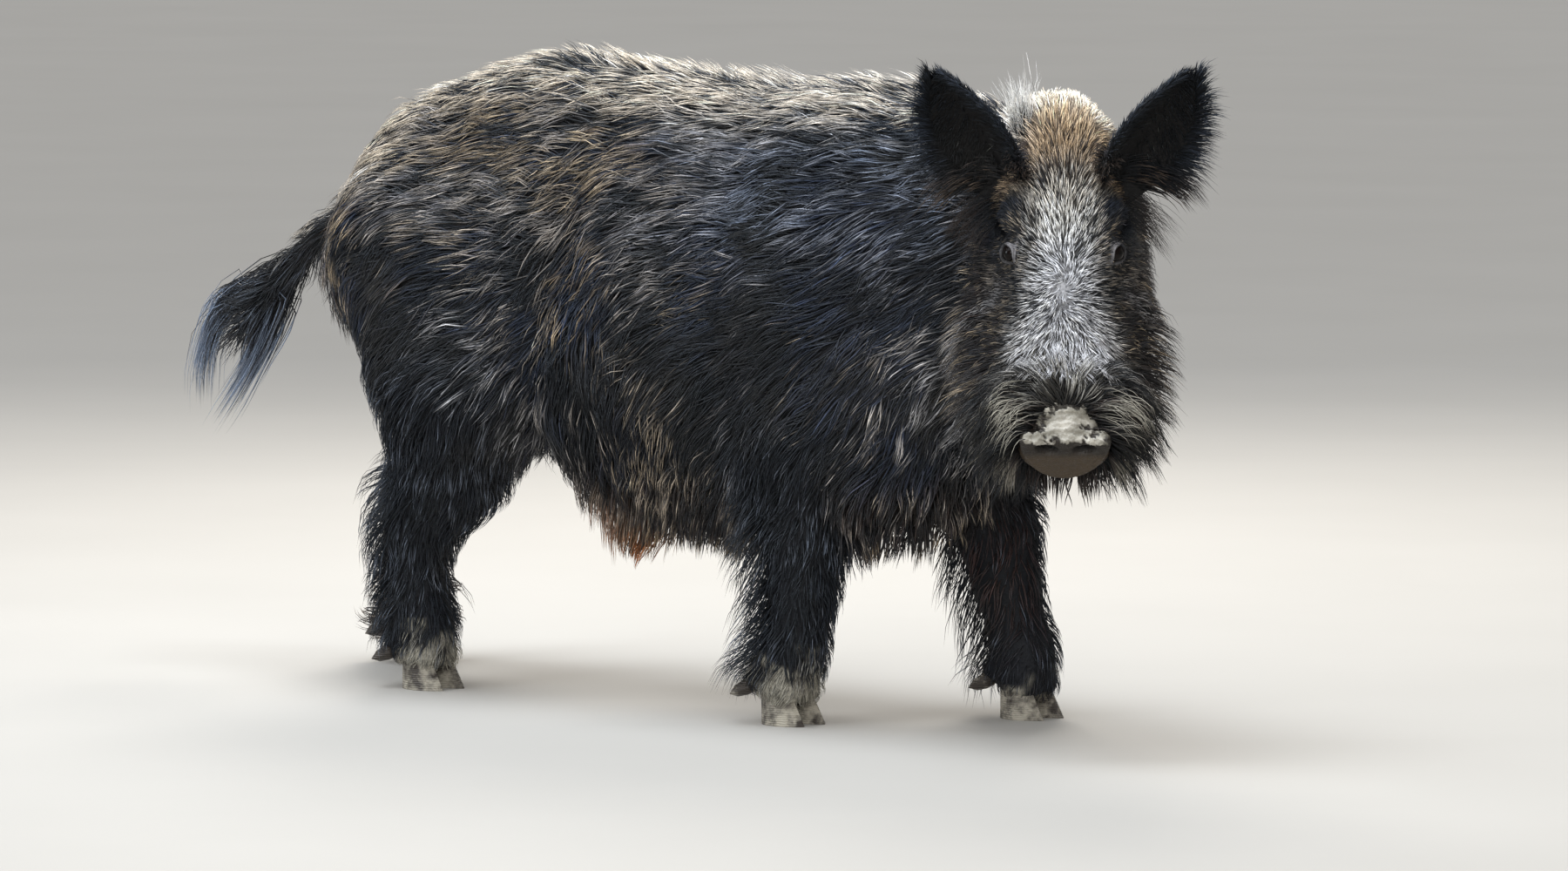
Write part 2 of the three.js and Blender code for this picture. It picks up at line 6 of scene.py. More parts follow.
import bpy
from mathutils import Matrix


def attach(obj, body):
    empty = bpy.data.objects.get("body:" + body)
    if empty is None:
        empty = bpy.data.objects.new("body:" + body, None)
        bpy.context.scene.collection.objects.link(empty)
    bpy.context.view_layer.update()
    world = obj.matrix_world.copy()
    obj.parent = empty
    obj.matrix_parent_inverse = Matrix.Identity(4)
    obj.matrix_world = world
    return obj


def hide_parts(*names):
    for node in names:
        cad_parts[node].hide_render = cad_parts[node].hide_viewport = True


bl_info = {
    "name": "Wild boar",
    "version": (1, 0, 0),
    "blender": (4, 5, 0),
    "location": "3D View > Sidebar > Boar",
    "description": "Builds the skin, coat, eyes and hooves of a still, life-size wild boar",
    "category": "Object",
}

import math

import bmesh
import bpy
import numpy as np
from bpy.props import FloatProperty, FloatVectorProperty, PointerProperty
from mathutils import Vector

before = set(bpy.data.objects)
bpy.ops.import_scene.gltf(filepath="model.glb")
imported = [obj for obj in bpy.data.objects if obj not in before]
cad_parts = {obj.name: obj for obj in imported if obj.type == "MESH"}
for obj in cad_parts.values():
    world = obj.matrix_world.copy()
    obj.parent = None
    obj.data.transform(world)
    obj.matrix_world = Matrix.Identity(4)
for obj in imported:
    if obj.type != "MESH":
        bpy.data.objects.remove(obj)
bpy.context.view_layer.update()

# ---------- sizes ----------

ORIGIN = np.array([-71.725, 11.979, 0.0])  # from the boar's own frame to the frame of the row
MM = 0.001
SIDES = ((-1, "right"), (1, "left"))

# The head's own frame: X from the poll to the snout, Y to its left, Z out of the forehead.
HEAD_PLACE = np.array([608.0, 0.0, 622.0])
HEAD_TURN, HEAD_PITCH = math.radians(-50), math.radians(50)

# Lofts of the skin: x, back, belly, half width. It lies under the coat by the coat's depth.
TRUNK = [
    (-396, 588, 502, 40), (-376, 625, 456, 76), (-338, 656, 418, 102), (-250, 690, 360, 125),
    (-120, 722, 308, 137), (0, 718, 244, 145), (130, 706, 216, 149), (260, 698, 210, 145),
    (370, 692, 218, 133), (450, 670, 240, 109), (507, 626, 336, 73),
]
NECK = [((330, 0, 556), (590, 0, 600), 117, 84), ((400, 0, 400), (584, -8, 520), 121, 74)]
HEAD = [
    (-62, 52, -34, 40), (-40, 86, -78, 60), (0, 106, -108, 72), (60, 103, -124, 80),
    (115, 90, -128, 84), (160, 74, -124, 84), (215, 55, -112, 82), (268, 43, -94, 82),
    (315, 36, -74, 65), (343, 31, -58, 51), (357, 28, -46, 46),
]
BROW = {"at": (122, 42, 66), "long": 30, "r": 17}
EYE = {"at": (144, 55, 54), "r": 12.0, "ahead": (0.46, 0.66, 0.59), "open": (54, 31, 38)}
WHORL = 196  # from the poll to the middle of the whorl on the nose
LID_CREASES = ((1.55, -1.3, .09), (1.82, 1.0, .12), (2.12, -1.5, .11), (2.45, .8, .14))
EAR = {"base": (62, 68, 66), "tip": (0, 140, 184), "half": 50, "wall": 6, "cup": 30}
DISC = {"x": 366, "z": -13, "half": 50, "tall": 37, "thick": 11, "nostril": (13, 9), "apart": 20.5}

# The legs' middle lines: x, y, z, radius of the skin.
LEGS = {
    ("front", -1): [(318, 78, 470, 84), (332, 96, 320, 64), (328, 106, 210, 42), (327, 109, 150, 33),
                    (321, 110, 100, 27), (312, 110, 70, 29), (309, 110, 52, 29)],
    ("front", 1): [(352, 78, 470, 84), (402, 96, 320, 64), (434, 106, 210, 42), (446, 109, 150, 33),
                   (460, 110, 100, 27), (470, 110, 70, 29), (474, 110, 52, 29)],
    ("hind", -1): [(-262, 74, 505, 108), (-196, 90, 350, 88), (-205, 98, 255, 55), (-258, 100, 178, 35),
                   (-261, 100, 110, 28), (-252, 100, 72, 29), (-246, 100, 52, 29)],
    ("hind", 1): [(-275, 74, 505, 108), (-292, 90, 355, 86), (-372, 98, 262, 55), (-446, 100, 192, 35),
                  (-445, 100, 116, 28), (-440, 100, 72, 29), (-437, 100, 52, 29)],
}
# A toe and the bulge behind it: ahead, aside and height of both ends, and their radii.
TOES = ((-4, 15, 46, 12, 16, 38, 20, 15), (-4, 12, 82, -31, 21, 52, 19, 12))
TAIL = [
    (-372, 0, 566, 24), (-434, -1, 545, 14), (-486, -3, 516, 12), (-536, -6, 476, 10),
    (-578, -12, 432, 7), (-604, -17, 396, 4),
]
TAIL_LOCKS = (
    ((-533, -4, 484), (-581, -6, 464), (-632, -9, 431),
     (-660, -12, 402), (-679, -15, 353), (-680, -17, 305)),
    ((-526, -4, 471), (-548, -6, 442), (-568, -8, 413),
     (-585, -12, 376), (-615, -15, 329), (-655, -17, 278)),
)
# Loose hairs of the head, in its own frame: root, how far round it, both sides or one, count, way out,
# shortest and longest, thinnest and thickest, droop, how many join in one lock, root and tip colour.
WISPS = (
    ((2, -45, 84), (10, 9), (1,), 210, (-.766, -.10, .643), (36, 74), (.5, 1.0), .03, 5, "dark", "white"),
    ((62, 86, 50), (16, 9), (-1, 1), 170, (.38, .80, -.25), (46, 92), (.5, 1.0), .34, 6, "dark", "umber"),
    ((334, 33, 30), (12, 9), (-1, 1), 84, (-.05, 1, .42), (56, 92), (.8, 1.4), .62, 7, "umber", "mud"),
    ((342, 50, -22), (10, 9), (-1, 1), 120, (.45, .5, -.6), (30, 60), (1.3, 2.6), .6, 8, "umber", "wet_mud"),
    ((338, 22, -54), (12, 16), (-1, 1), 90, (.60, .1, -.66), (24, 52), (1.4, 2.8), .6, 8, "umber", "umber"),
    ((116, 63, 66), (8, 12), (-1, 1), 170, (.50, .45, .35), (12, 24), (.6, 1.1), .12, 3, "dark", "dark"),
)
# Hair of the ears: kind, count, steps, shortest and longest, thinnest and thickest, how many join in
# one lock, how firmly, and droop.
EAR_FUR = (
    ("back", 1800, 2, (11, 20), (1.1, 1.9), 5, 0.3, 0.10),
    ("inner", 800, 2, (10, 22), (0.8, 1.4), 5, 0.3, 0.10),
    ("edge", 1700, 3, (22, 46), (0.7, 1.3), 6, 0.45, 0.32),
    ("root", 550, 3, (20, 42), (0.9, 1.6), 6, 0.45, 0.32),
)
# Where hairs start to bend back: axis, side, how far out in millimetres, and the room beyond.
KEPT_IN = ((0, -1, 680, 24), (0, 1, 826, 18), (1, -1, 214, 17), (1, 1, 196, 16), (2, 1, 750, 16))
LEG_BLEND, TRUNK_BLEND, HEAD_BLEND, TAIL_BLEND = 44, 70, 40, 30
SKIN_CELL, FAR_CELL, GRID_CELL = 5.0, 4, 8.0

# Which way the coat lies on the trunk, seen from the side: x, z, then its direction there.
LIE = [
    (560, 649, -.96, -.29), (461, 674, -1, -.09), (461, 548, -.95, -.32), (536, 484, -.83, -.55),
    (461, 413, -.70, -.71), (335, 689, -1, -.02), (309, 590, -1, -.04), (309, 493, -.98, -.20),
    (309, 405, -.87, -.50), (335, 329, -.75, -.66), (335, 251, -.79, -.61), (207, 704, -1, -.04),
    (181, 614, -1, 0), (181, 516, -.99, -.11), (181, 418, -.83, -.55), (194, 340, -.60, -.80),
    (103, 601, -.91, -.41), (64, 550, -.70, -.71), (18, 489, -.25, -.97), (38, 411, .19, -.98),
    (64, 343, .07, -1), (103, 276, -.26, -.97), (77, 709, -1, .04), (-28, 646, -.99, -.11),
    (-54, 555, -1, -.04), (-67, 465, -.99, -.11), (-161, 651, -.97, -.24), (-215, 548, -.95, -.32),
    (-269, 596, -.93, -.36), (-323, 534, -.38, -.92), (-316, 443, -.13, -.99), (-255, 466, -.79, -.61),
    (-161, 381, -.95, -.32), (-54, 376, -.93, -.36), (-242, 327, -.91, -.41), (-107, 294, -.44, -.90),
    (-215, 238, -.60, -.80), (-28, 289, -.19, -.98),
]
LIE_REACH = 52.0

FLESH = (
    ["neck", "belly_brush", "tail_dock", "tail_tuft", "trunk", "head", "lower_jaw", "snout_disc"]
    + [f"{part}_{side}" for part in ("shoulder", "haunch", "ear") for side in ("right", "left")]
    + [f"lower_leg_{end}_{side}" for end in ("front", "hind") for side in ("right", "left")]
)
CAMERA = {"aim": (122.6, 102.9, 300.0), "turn": 40, "rise": 5, "away": 12, "lens": 240}
# Soft lamps: place and size in metres, power in watts, tint.
LAMPS = (
    ("soft_top", (-0.3, -0.2, 3.2), 1.6, 85, (0.86, 0.93, 1.0)),
    ("soft_rim", (-1.6, 2.2, 2.6), 1.4, 100, (1.0, 0.95, 0.88)),
    ("soft_front", (3.2, -3.4, 1.9), 2.0, 92, (1.0, 0.99, 0.97)),
    ("soft_side", (-1.6, -4.2, 1.9), 2.0, 80, (0.88, 0.94, 1.0)),
)
BRUSH_POINT = np.array([3.0, -30, 172])
GROUP = 2000  # tufts looked at together
PIECE_LIMIT = 195_000  # triangles in one piece of coat
TUFT_TRIANGLES = 22  # in a tuft of four steps
PATCH = 0.003  # of the map, across one tuft

# ---------- small maths ----------


def unit(v):
    """Directions of length 1."""
    return v / np.maximum(np.linalg.norm(v, axis=-1, keepdims=True), 1e-9)


def smooth(t):
    """A soft step from 0 to 1."""
    t = np.clip(t, 0, 1)
    return t * t * (3 - 2 * t)


def mixed(a, b, t):
    """From a to b by t, where t may be one value for each row."""
    a, b, t = np.asarray(a), np.asarray(b), np.asarray(t)
    if t.ndim and (a.shape[-1:] == (3,) or b.shape[-1:] == (3,)) and t.shape[-1:] != (1,):
        t = t[..., None]
    return a * (1 - t) + b * t


def bell(x, wide):
    return np.exp(-0.5 * (x / wide) ** 2)


def dot(a, b):
    return np.sum(a * b, axis=-1, keepdims=True)


def spline(x, y, at):
    """A smooth curve through y(x), with one slope at each knot."""
    x, y = np.asarray(x, float), np.asarray(y, float)
    slope = np.gradient(y, x)
    slope[1:-1] = (y[2:] - y[:-2]) / (x[2:] - x[:-2])
    i = np.clip(np.searchsorted(x, at) - 1, 0, len(x) - 2)
    h = x[i + 1] - x[i]
    t = np.clip((at - x[i]) / h, 0, 1)
    return (
        (2 * t**3 - 3 * t**2 + 1) * y[i] + (t**3 - 2 * t**2 + t) * h * slope[i]
        + (3 * t**2 - 2 * t**3) * y[i + 1] + (t**3 - t**2) * h * slope[i + 1]
    )


def ripple(p, wave, seed, layers=6):
    """A soft noise between about -1 and 1, made of plane waves about `wave` mm long."""
    rng = np.random.default_rng(seed)
    total = np.zeros(len(p))
    for _ in range(layers):
        way = unit(rng.normal(size=3)) * 2 * math.pi / (wave * rng.uniform(0.6, 1.5))
        total += np.sin(p @ way + rng.uniform(0, 6.3))
    return total / math.sqrt(layers)


def linear(hexes):
    """An sRGB colour, as hex, in linear light."""
    c = np.array([int(hexes[i:i + 2], 16) / 255 for i in (1, 3, 5)])
    return np.where(c <= 0.04045, c / 12.92, ((c + 0.055) / 1.055) ** 2.4)


def axes(turn, pitch):
    ct, st, cp, sp = math.cos(turn), math.sin(turn), math.cos(pitch), math.sin(pitch)
    return np.array([[ct * cp, st * cp, -sp], [-st, ct, 0], [ct * sp, st * sp, cp]])


HEAD_AXES = axes(HEAD_TURN, HEAD_PITCH)
DOWN = np.array([0, 0, -1.0])


def in_head(p):
    return (p - HEAD_PLACE) @ HEAD_AXES.T


def from_head(q):
    return q @ HEAD_AXES + HEAD_PLACE


def placed(p):
    """Boar millimetres to metres in the frame of the row."""
    return (p + ORIGIN) * MM


def kept_in(points):
    """The few hairs that would pass the model's box bend back inside it."""
    points = points.copy()
    for k, sign, start, room in KEPT_IN:
        over = sign * points[:, k] - start
        points[:, k] = np.where(over > 0, sign * (start + room * np.tanh(over / room)), points[:, k])
    points[:, 2] = np.maximum(points[:, 2], 0.8)
    return points


# ---------- the body as fields: negative inside, about millimetres near the skin ----------


def joined(a, b, blend):
    """Two fields in one, with a fillet about `blend` millimetres wide between them."""
    h = np.maximum(blend - np.abs(a - b), 0) / blend
    return np.minimum(a, b) - h * h * blend / 4


def lofted(rows, power, narrowing):
    """The field of a body through rows of x, top, bottom and half width, narrower above."""
    rows = np.array(rows, float)
    x = np.arange(rows[0, 0], rows[-1, 0] + 1, 2.0)
    top, under, half = (spline(rows[:, 0], rows[:, k], x) for k in (1, 2, 3))

    def field(p):
        at = np.clip(p[:, 0], x[0], x[-1])
        t, u, w = (np.interp(at, x, c) for c in (top, under, half))
        tall = (t - u) / 2
        rise = (p[:, 2] - (t + u) / 2) / tall
        wide = w * (1 - narrowing * np.clip(rise, -1, 1))
        size = np.minimum(wide, tall)
        ring = (np.abs(p[:, 1] / wide) ** power + np.abs(rise) ** power) ** (1 / power)
        return (np.hypot(np.abs(p[:, 0] - at) / (0.5 * size), ring) - 1) * size

    return field


def cone(a, b, ra, rb):
    """The field of a rounded cone from a to b."""
    a, b = np.array(a, float), np.array(b, float)
    ab = b - a

    def field(p):
        t = np.clip((p - a) @ ab / (ab @ ab), 0, 1)
        return np.linalg.norm(p - a - t[:, None] * ab, axis=1) - (ra + (rb - ra) * t)

    return field


def chain(joints, side=1, blend=26):
    """The field of a limb: cones from joint to joint, softly joined."""
    joints = [(x, side * y, z, r) for x, y, z, r in joints]
    links = [cone(a[:3], b[:3], a[3], b[3]) for a, b in zip(joints, joints[1:])]
    points = np.array([j[:3] for j in joints])
    reach = max(j[3] for j in joints) + 80
    low, high = points.min(axis=0) - reach, points.max(axis=0) + reach

    def field(p):
        near = np.all((p > low) & (p < high), axis=1)
        out = np.full(len(p), 400.0)
        if near.any():
            q = p[near]
            f = links[0](q)
            for link in links[1:]:
                f = joined(f, link(q), blend)
            out[near] = f
        return out

    return field


def disc_field(q):
    """The snout's end: a plate with a straight upper rim, rounder below, and soft edges."""
    over = q[:, 2] - DISC["z"] - DISC["tall"]
    ring = (np.abs(q[:, 1] / DISC["half"]) ** 2 + (np.maximum(-over, 0) / (2 * DISC["tall"])) ** 2) ** 0.5
    soft = 4.5
    edge = -joined(-(ring - 1) * 42, -over, 9) + soft
    flat = np.abs(q[:, 0] - DISC["x"] - 2) - DISC["thick"] / 2 - 2 + soft
    outer = np.hypot(np.maximum(edge, 0), np.maximum(flat, 0))
    return outer + np.minimum(np.maximum(edge, flat), 0) - soft


trunk_loft = lofted(TRUNK, 2.25, 0.2)


def relief(p):
    """How far the trunk sinks at the folds of flank and elbow, or swells beside them."""
    x, y, z = p.T
    line = np.interp(z, [250, 325, 405, 510, 608, 700], [-95, -65, -33, -13, 7, 20])
    fold = bell(x - line, 20) * smooth((z - 250) / 60) * smooth((640 - z) / 80)
    swell = bell(x - line - 55, 30) * smooth((z - 280) / 60) * smooth((620 - z) / 80)
    elbow = bell(x - 272, 20) * smooth((z - 230) / 40) * smooth((450 - z) / 80)
    blade = bell(x - 400, 50) * bell(z - 520, 90)
    return (10 * fold - 6 * swell + 9 * elbow - 5 * blade) * smooth((np.abs(y) - 50) / 40)


def trunk_field(p):
    return trunk_loft(p) + relief(p)


skull_field = lofted(HEAD, 2.4, 0.26)
neck_fields = [cone(*row) for row in NECK]
tail_field = chain(TAIL, blend=10)
leg_fields = {key: chain(joints, key[1]) for key, joints in LEGS.items()}


def brow(side):
    x, y, z = BROW["at"]
    back, ahead = x - BROW["long"] / 2, x + BROW["long"] / 2
    return cone((back, side * (y + 8), z + 2), (ahead, side * y, z - 4), BROW["r"], BROW["r"] - 4)


brow_fields = [brow(side) for side in (-1, 1)]


def toes(leg_side, foot):
    """A leg's two toes and the two bulges behind them, from where its middle line ends."""
    x, y = foot[0], leg_side * foot[1]
    return [
        cone((x + a, y + way * b, c), (x + d, y + way * e, f), start, end)
        for way in (-1, 1) for a, b, c, d, e, f, start, end in TOES
    ]


toe_fields = {key: toes(key[1], rows[-1]) for key, rows in LEGS.items()}


def head_field(p):
    near = np.all((p > (430, -360, 180)) & (p < (860, 180, 800)), axis=1)
    out = np.full(len(p), 400.0)
    q = in_head(p[near])
    f = skull_field(q)
    for one in brow_fields:
        f = joined(f, one(q), 26)
    out[near] = joined(f, disc_field(q), 9)
    return out


def body_parts(p):
    """The field of each part of the body at points p."""
    parts = {"trunk": trunk_field(p)}
    parts["neck"] = joined(neck_fields[0](p), neck_fields[1](p), 60)
    for key, field in leg_fields.items():
        low = p[:, 2] < 120
        parts[key] = field(p)
        for toe in toe_fields[key]:
            parts[key][low] = joined(parts[key][low], toe(p[low]), 10)
    parts["tail"] = tail_field(p)
    parts["head"] = head_field(p)
    return parts


def shares_of(parts, p):
    """How much points p of the skin belong to the head, to a leg and to the tail."""
    legs = np.stack([parts[key] for key in LEGS]).min(axis=0)
    head = smooth((np.minimum(parts["neck"], parts["trunk"]) - parts["head"] + 22) / 44)
    leg = smooth((parts["trunk"] - legs + 10) / 40) * smooth((470 - p[:, 2]) / 120)
    tail = smooth((parts["trunk"] - parts["tail"] + 4) / 16) * (p[:, 0] < -380)
    return head, leg, tail


def body_field(p):
    """The whole skin as one field."""
    parts = body_parts(p)
    f = joined(parts["trunk"], parts["neck"], TRUNK_BLEND)
    for key in LEGS:
        f = joined(f, parts[key], LEG_BLEND)
    f = joined(f, parts["tail"], TAIL_BLEND)
    return joined(f, parts["head"], HEAD_BLEND)


def slope_of(field, p, step=1.0):
    """The field at p and how it rises along each axis."""
    here = field(p)
    ahead = [field(p + step * np.eye(3)[k]) for k in range(3)]
    return here, np.stack([(a - here) / step for a in ahead], axis=1)


def settled(p, turns=3):
    """Points moved onto the skin."""
    for _ in range(turns):
        f, g = slope_of(body_field, p)
        p = p - (f / np.maximum(np.sum(g * g, axis=1), 0.2))[:, None] * g
    return p


# ---------- the skin's mesh ----------


def box_grid(low, high, cell):
    return [np.arange(low[k], high[k] + cell, cell) for k in range(3)]


def sampled(grid):
    """The field over a whole grid, worked out finely only near the skin."""
    shape = [len(g) for g in grid]
    mesh = np.meshgrid(*grid, indexing="ij")
    coarse = [np.union1d(g[::FAR_CELL], g[-1:]) for g in grid]
    points = np.stack(np.meshgrid(*coarse, indexing="ij"), axis=-1).reshape(-1, 3)
    rough = body_field(points).reshape([len(c) for c in coarse])
    index = [np.clip(np.arange(n) / FAR_CELL, 0, len(c) - 1) for n, c in zip(shape, coarse)]
    near = [np.rint(i).astype(int) for i in index]
    far = rough[np.ix_(*near)]
    fine = np.abs(far) < SKIN_CELL * FAR_CELL * 2
    points = np.stack([m[fine] for m in mesh], axis=1)
    far[fine] = body_field(points)
    return far


def surface_net(grid, values):
    """Points and quads of the surface where the values change sign."""
    shape = np.array(values.shape)
    inside = values < 0
    corners = [(i, j, k) for i in (0, 1) for j in (0, 1) for k in (0, 1)]
    cells = shape - 1
    count = sum(
        inside[i:i + cells[0], j:j + cells[1], k:k + cells[2]].astype(np.int8) for i, j, k in corners
    )
    used = (count > 0) & (count < 8)
    ids = np.full(cells, -1)
    at = np.argwhere(used)
    ids[used] = np.arange(len(at))
    total, crossings = np.zeros((len(at), 3)), np.zeros(len(at))
    for axis in range(3):
        step = np.eye(3, dtype=int)[axis]
        for corner in corners:
            if corner[axis]:
                continue
            a, b = at + corner, at + corner + step
            va, vb = values[tuple(a.T)], values[tuple(b.T)]
            cross = (va < 0) != (vb < 0)
            t = np.where(cross, va / np.where(cross, va - vb, 1), 0)
            total += cross[:, None] * (a + t[:, None] * step)
            crossings += cross
    spot = total / crossings[:, None]
    points = np.array([g[0] for g in grid]) + spot * np.array([g[1] - g[0] for g in grid])
    quads = []
    for axis in range(3):
        u, v = (axis + 1) % 3, (axis + 2) % 3
        step = np.eye(3, dtype=int)
        low = [slice(1, -1)] * 3
        low[axis] = slice(0, -1)
        high = list(low)
        high[axis] = slice(1, None)
        a, b = inside[tuple(low)], inside[tuple(high)]
        edge = np.argwhere(a != b) + [0 if k == axis else 1 for k in range(3)]
        out = a[a != b]
        ring = [edge - step[u] - step[v], edge - step[v], edge, edge - step[u]]
        quad = np.stack([ids[tuple(r.T)] for r in ring], axis=1)
        quad[~out] = quad[~out][:, ::-1]
        quads.append(quad)
    return points, np.concatenate(quads)


def ear_frame(side):
    """The ear's root, its way up, the way it faces and the way across it, in the head's frame."""
    base = np.array(EAR["base"]) * [1, side, 1]
    up = np.array(EAR["tip"]) * [1, side, 1] - base
    out = unit(np.array([0.62, side * 0.3, 0.1]))
    face = unit(out - up * (out @ up / (up @ up)))
    return base, up, face, np.cross(unit(up), face) * side


def ear_point(u, v, side, lift):
    """A place on the ear's leaf, in boar millimetres: u from root to tip, v from edge to edge."""
    base, up, face, across = ear_frame(side)
    spread = np.where(
        u < 0.36,
        0.42 + 0.58 * np.sin(np.clip((u + 0.14) / 0.5, 0, 1) * 1.571),
        np.maximum(np.cos((np.maximum(u, 0.36) - 0.36) / 0.64 * 1.46), 0.02) ** 0.92,
    )
    curl = EAR["cup"] * (1 - v**2) * spread * (1 - 0.25 * u)
    folds = 2.2 * np.cos(v * 9) * smooth(1 - u / 0.6) * smooth(1 - np.abs(v)) * (lift > 0)
    thick = lift * (1 - 0.45 * np.maximum(u, 0)) * (1 - 0.75 * v**8)
    q = (
        base + up * u[:, None]
        + across * (v * EAR["half"] * spread + 6 * u)[:, None]
        + face * (-curl + thick + folds - 10 * u**2)[:, None]
    )
    return from_head(q)


def ear_mesh(side, levels=40, columns=28):
    """One closed leaf."""
    u = np.linspace(-0.14, 0.95, levels)
    v = np.sin(np.linspace(-1, 1, columns) * math.pi / 2)
    uu, vv = (g.ravel() for g in np.meshgrid(u, v, indexing="ij"))
    layers = [ear_point(uu, vv, side, lift * EAR["wall"] / 2) for lift in (1, -1)]
    points = np.concatenate(layers)
    n = levels * columns
    i, j = (g.ravel() for g in np.meshgrid(np.arange(levels - 1), np.arange(columns - 1), indexing="ij"))
    a = i * columns + j
    front = np.stack([a, a + 1, a + columns + 1, a + columns], axis=1)
    quads = [front, front[:, ::-1] + n]
    k = np.arange(levels - 1) * columns
    last = k + columns - 1
    quads.append(np.stack([k, k + columns, k + columns + n, k + n], axis=1))
    quads.append(np.stack([last, last + n, last + columns + n, last + columns], axis=1))
    j = np.arange(columns - 1)
    top = (levels - 1) * columns + j
    quads.append(np.stack([top, top + 1, top + 1 + n, top + n], axis=1))
    quads.append(np.stack([j, j + n, j + 1 + n, j + 1], axis=1))
    quads = np.concatenate(quads)
    return points, quads[:, ::-1] if side < 0 else quads


def eye_frame(side):
    """The eye's middle, the way it looks, and its long and short ways, in the head's frame."""
    centre = np.array(EYE["at"]) * [1, side, 1]
    ahead = unit(np.array(EYE["ahead"]) * [1, side, 1])
    slit = np.array([1.0, -0.25 * side, -0.1])
    along = unit(slit - ahead * (slit @ ahead))
    return centre, ahead, along, np.cross(ahead, along) * side


def eye_angles(q, side):
    """How far q is from the eye's middle, and how far round it, where 1 is the lid's edge."""
    centre, ahead, along, across = eye_frame(side)
    away = q - centre
    r = np.linalg.norm(away, axis=1)
    u = away / np.maximum(r, 1e-6)[:, None]
    f = u @ ahead
    a, b = np.degrees(np.arctan2(u @ along, f)), np.degrees(np.arctan2(u @ across, f))
    wide, above, under = EYE["open"]
    tall = np.where(b < 0, above, under)
    lens = np.hypot(a / wide, b / (tall * (1 - 0.35 * np.clip(a / wide, -1, 1) ** 2)))
    return r, u, np.where(f > 0, lens, 9), b


def with_lids(q):
    """Lids with a hooded upper edge and creases, and the hollow that holds each eyeball."""
    for side in (-1, 1):
        r, u, m, b = eye_angles(q, side)
        near = r < 34
        hood = smooth((-b - 10) / 40) * bell(m - 1.35, 0.5)
        lid = EYE["r"] + 2.6 + 2.4 * hood - 1.3 * np.clip(m - 1.3, 0, 3)
        creases = sum(deep * bell(m - at, wide) for at, deep, wide in LID_CREASES)
        outer = creases * smooth((30 - r) / 12) - joined(-r, -lid, 5)
        inner = EYE["r"] - 1.3
        new = mixed(inner, outer, smooth((m - 0.96) / 0.26))
        fade = smooth((34 - r) / 8)
        q = np.where(near[:, None], u * mixed(r, new, fade)[:, None] + eye_frame(side)[0], q)
    return q


def nostril_depth(q):
    """How deep into a nostril each place is, from 0 to 1."""
    wide, tall = DISC["nostril"]
    y = np.abs(q[:, 1]) - DISC["apart"]
    z = q[:, 2] - (DISC["z"] + 20 + 0.12 * y)
    return smooth(1.25 - np.hypot(y / wide, z / tall))


def with_snout(q):
    """Nostrils, the rim, wrinkles across the snout and lumps of drying mud."""
    front = smooth((q[:, 0] - DISC["x"]) / 7)
    hole = nostril_depth(q) * front
    rise = (q[:, 2] - DISC["z"]) / DISC["tall"]
    dish = front * (1 - hole) * bell(q[:, 1], 26) * bell(rise + 0.1, 0.5)
    q = q.copy()
    q[:, 0] -= 2.4 * dish + 17 * hole
    wrinkled = smooth((q[:, 0] - 318) / 15) * (1 - front)
    folds = np.sin((q[:, 0] + 3 * np.cos(q[:, 1] / 14)) * 0.9) * 0.7 * wrinkled
    lumps = ripple(q, 10, 31) + 0.5 * ripple(q, 4.5, 32)
    cap = snout_mud(q)
    grit = 0.35 * ripple(q, 3.2, 33) * front * (1 - hole)
    q[:, 2] += cap * (2.2 + 0.6 * lumps) + folds
    q[:, 0] += grit + cap * front * (1.6 + 0.8 * lumps)
    return q


def with_mouth(q):
    """The closed mouth as a groove on both sides of the snout."""
    line = -42 + 0.17 * (q[:, 0] - 370)
    groove = bell(q[:, 2] - line + 6, 3.2) * smooth((q[:, 0] - 190) / 50) * (q[:, 0] < DISC["x"] - 3)
    q = q.copy()
    q[:, 1] -= np.sign(q[:, 1]) * 2.6 * groove * smooth((np.abs(q[:, 1]) - 8) / 12)
    return q


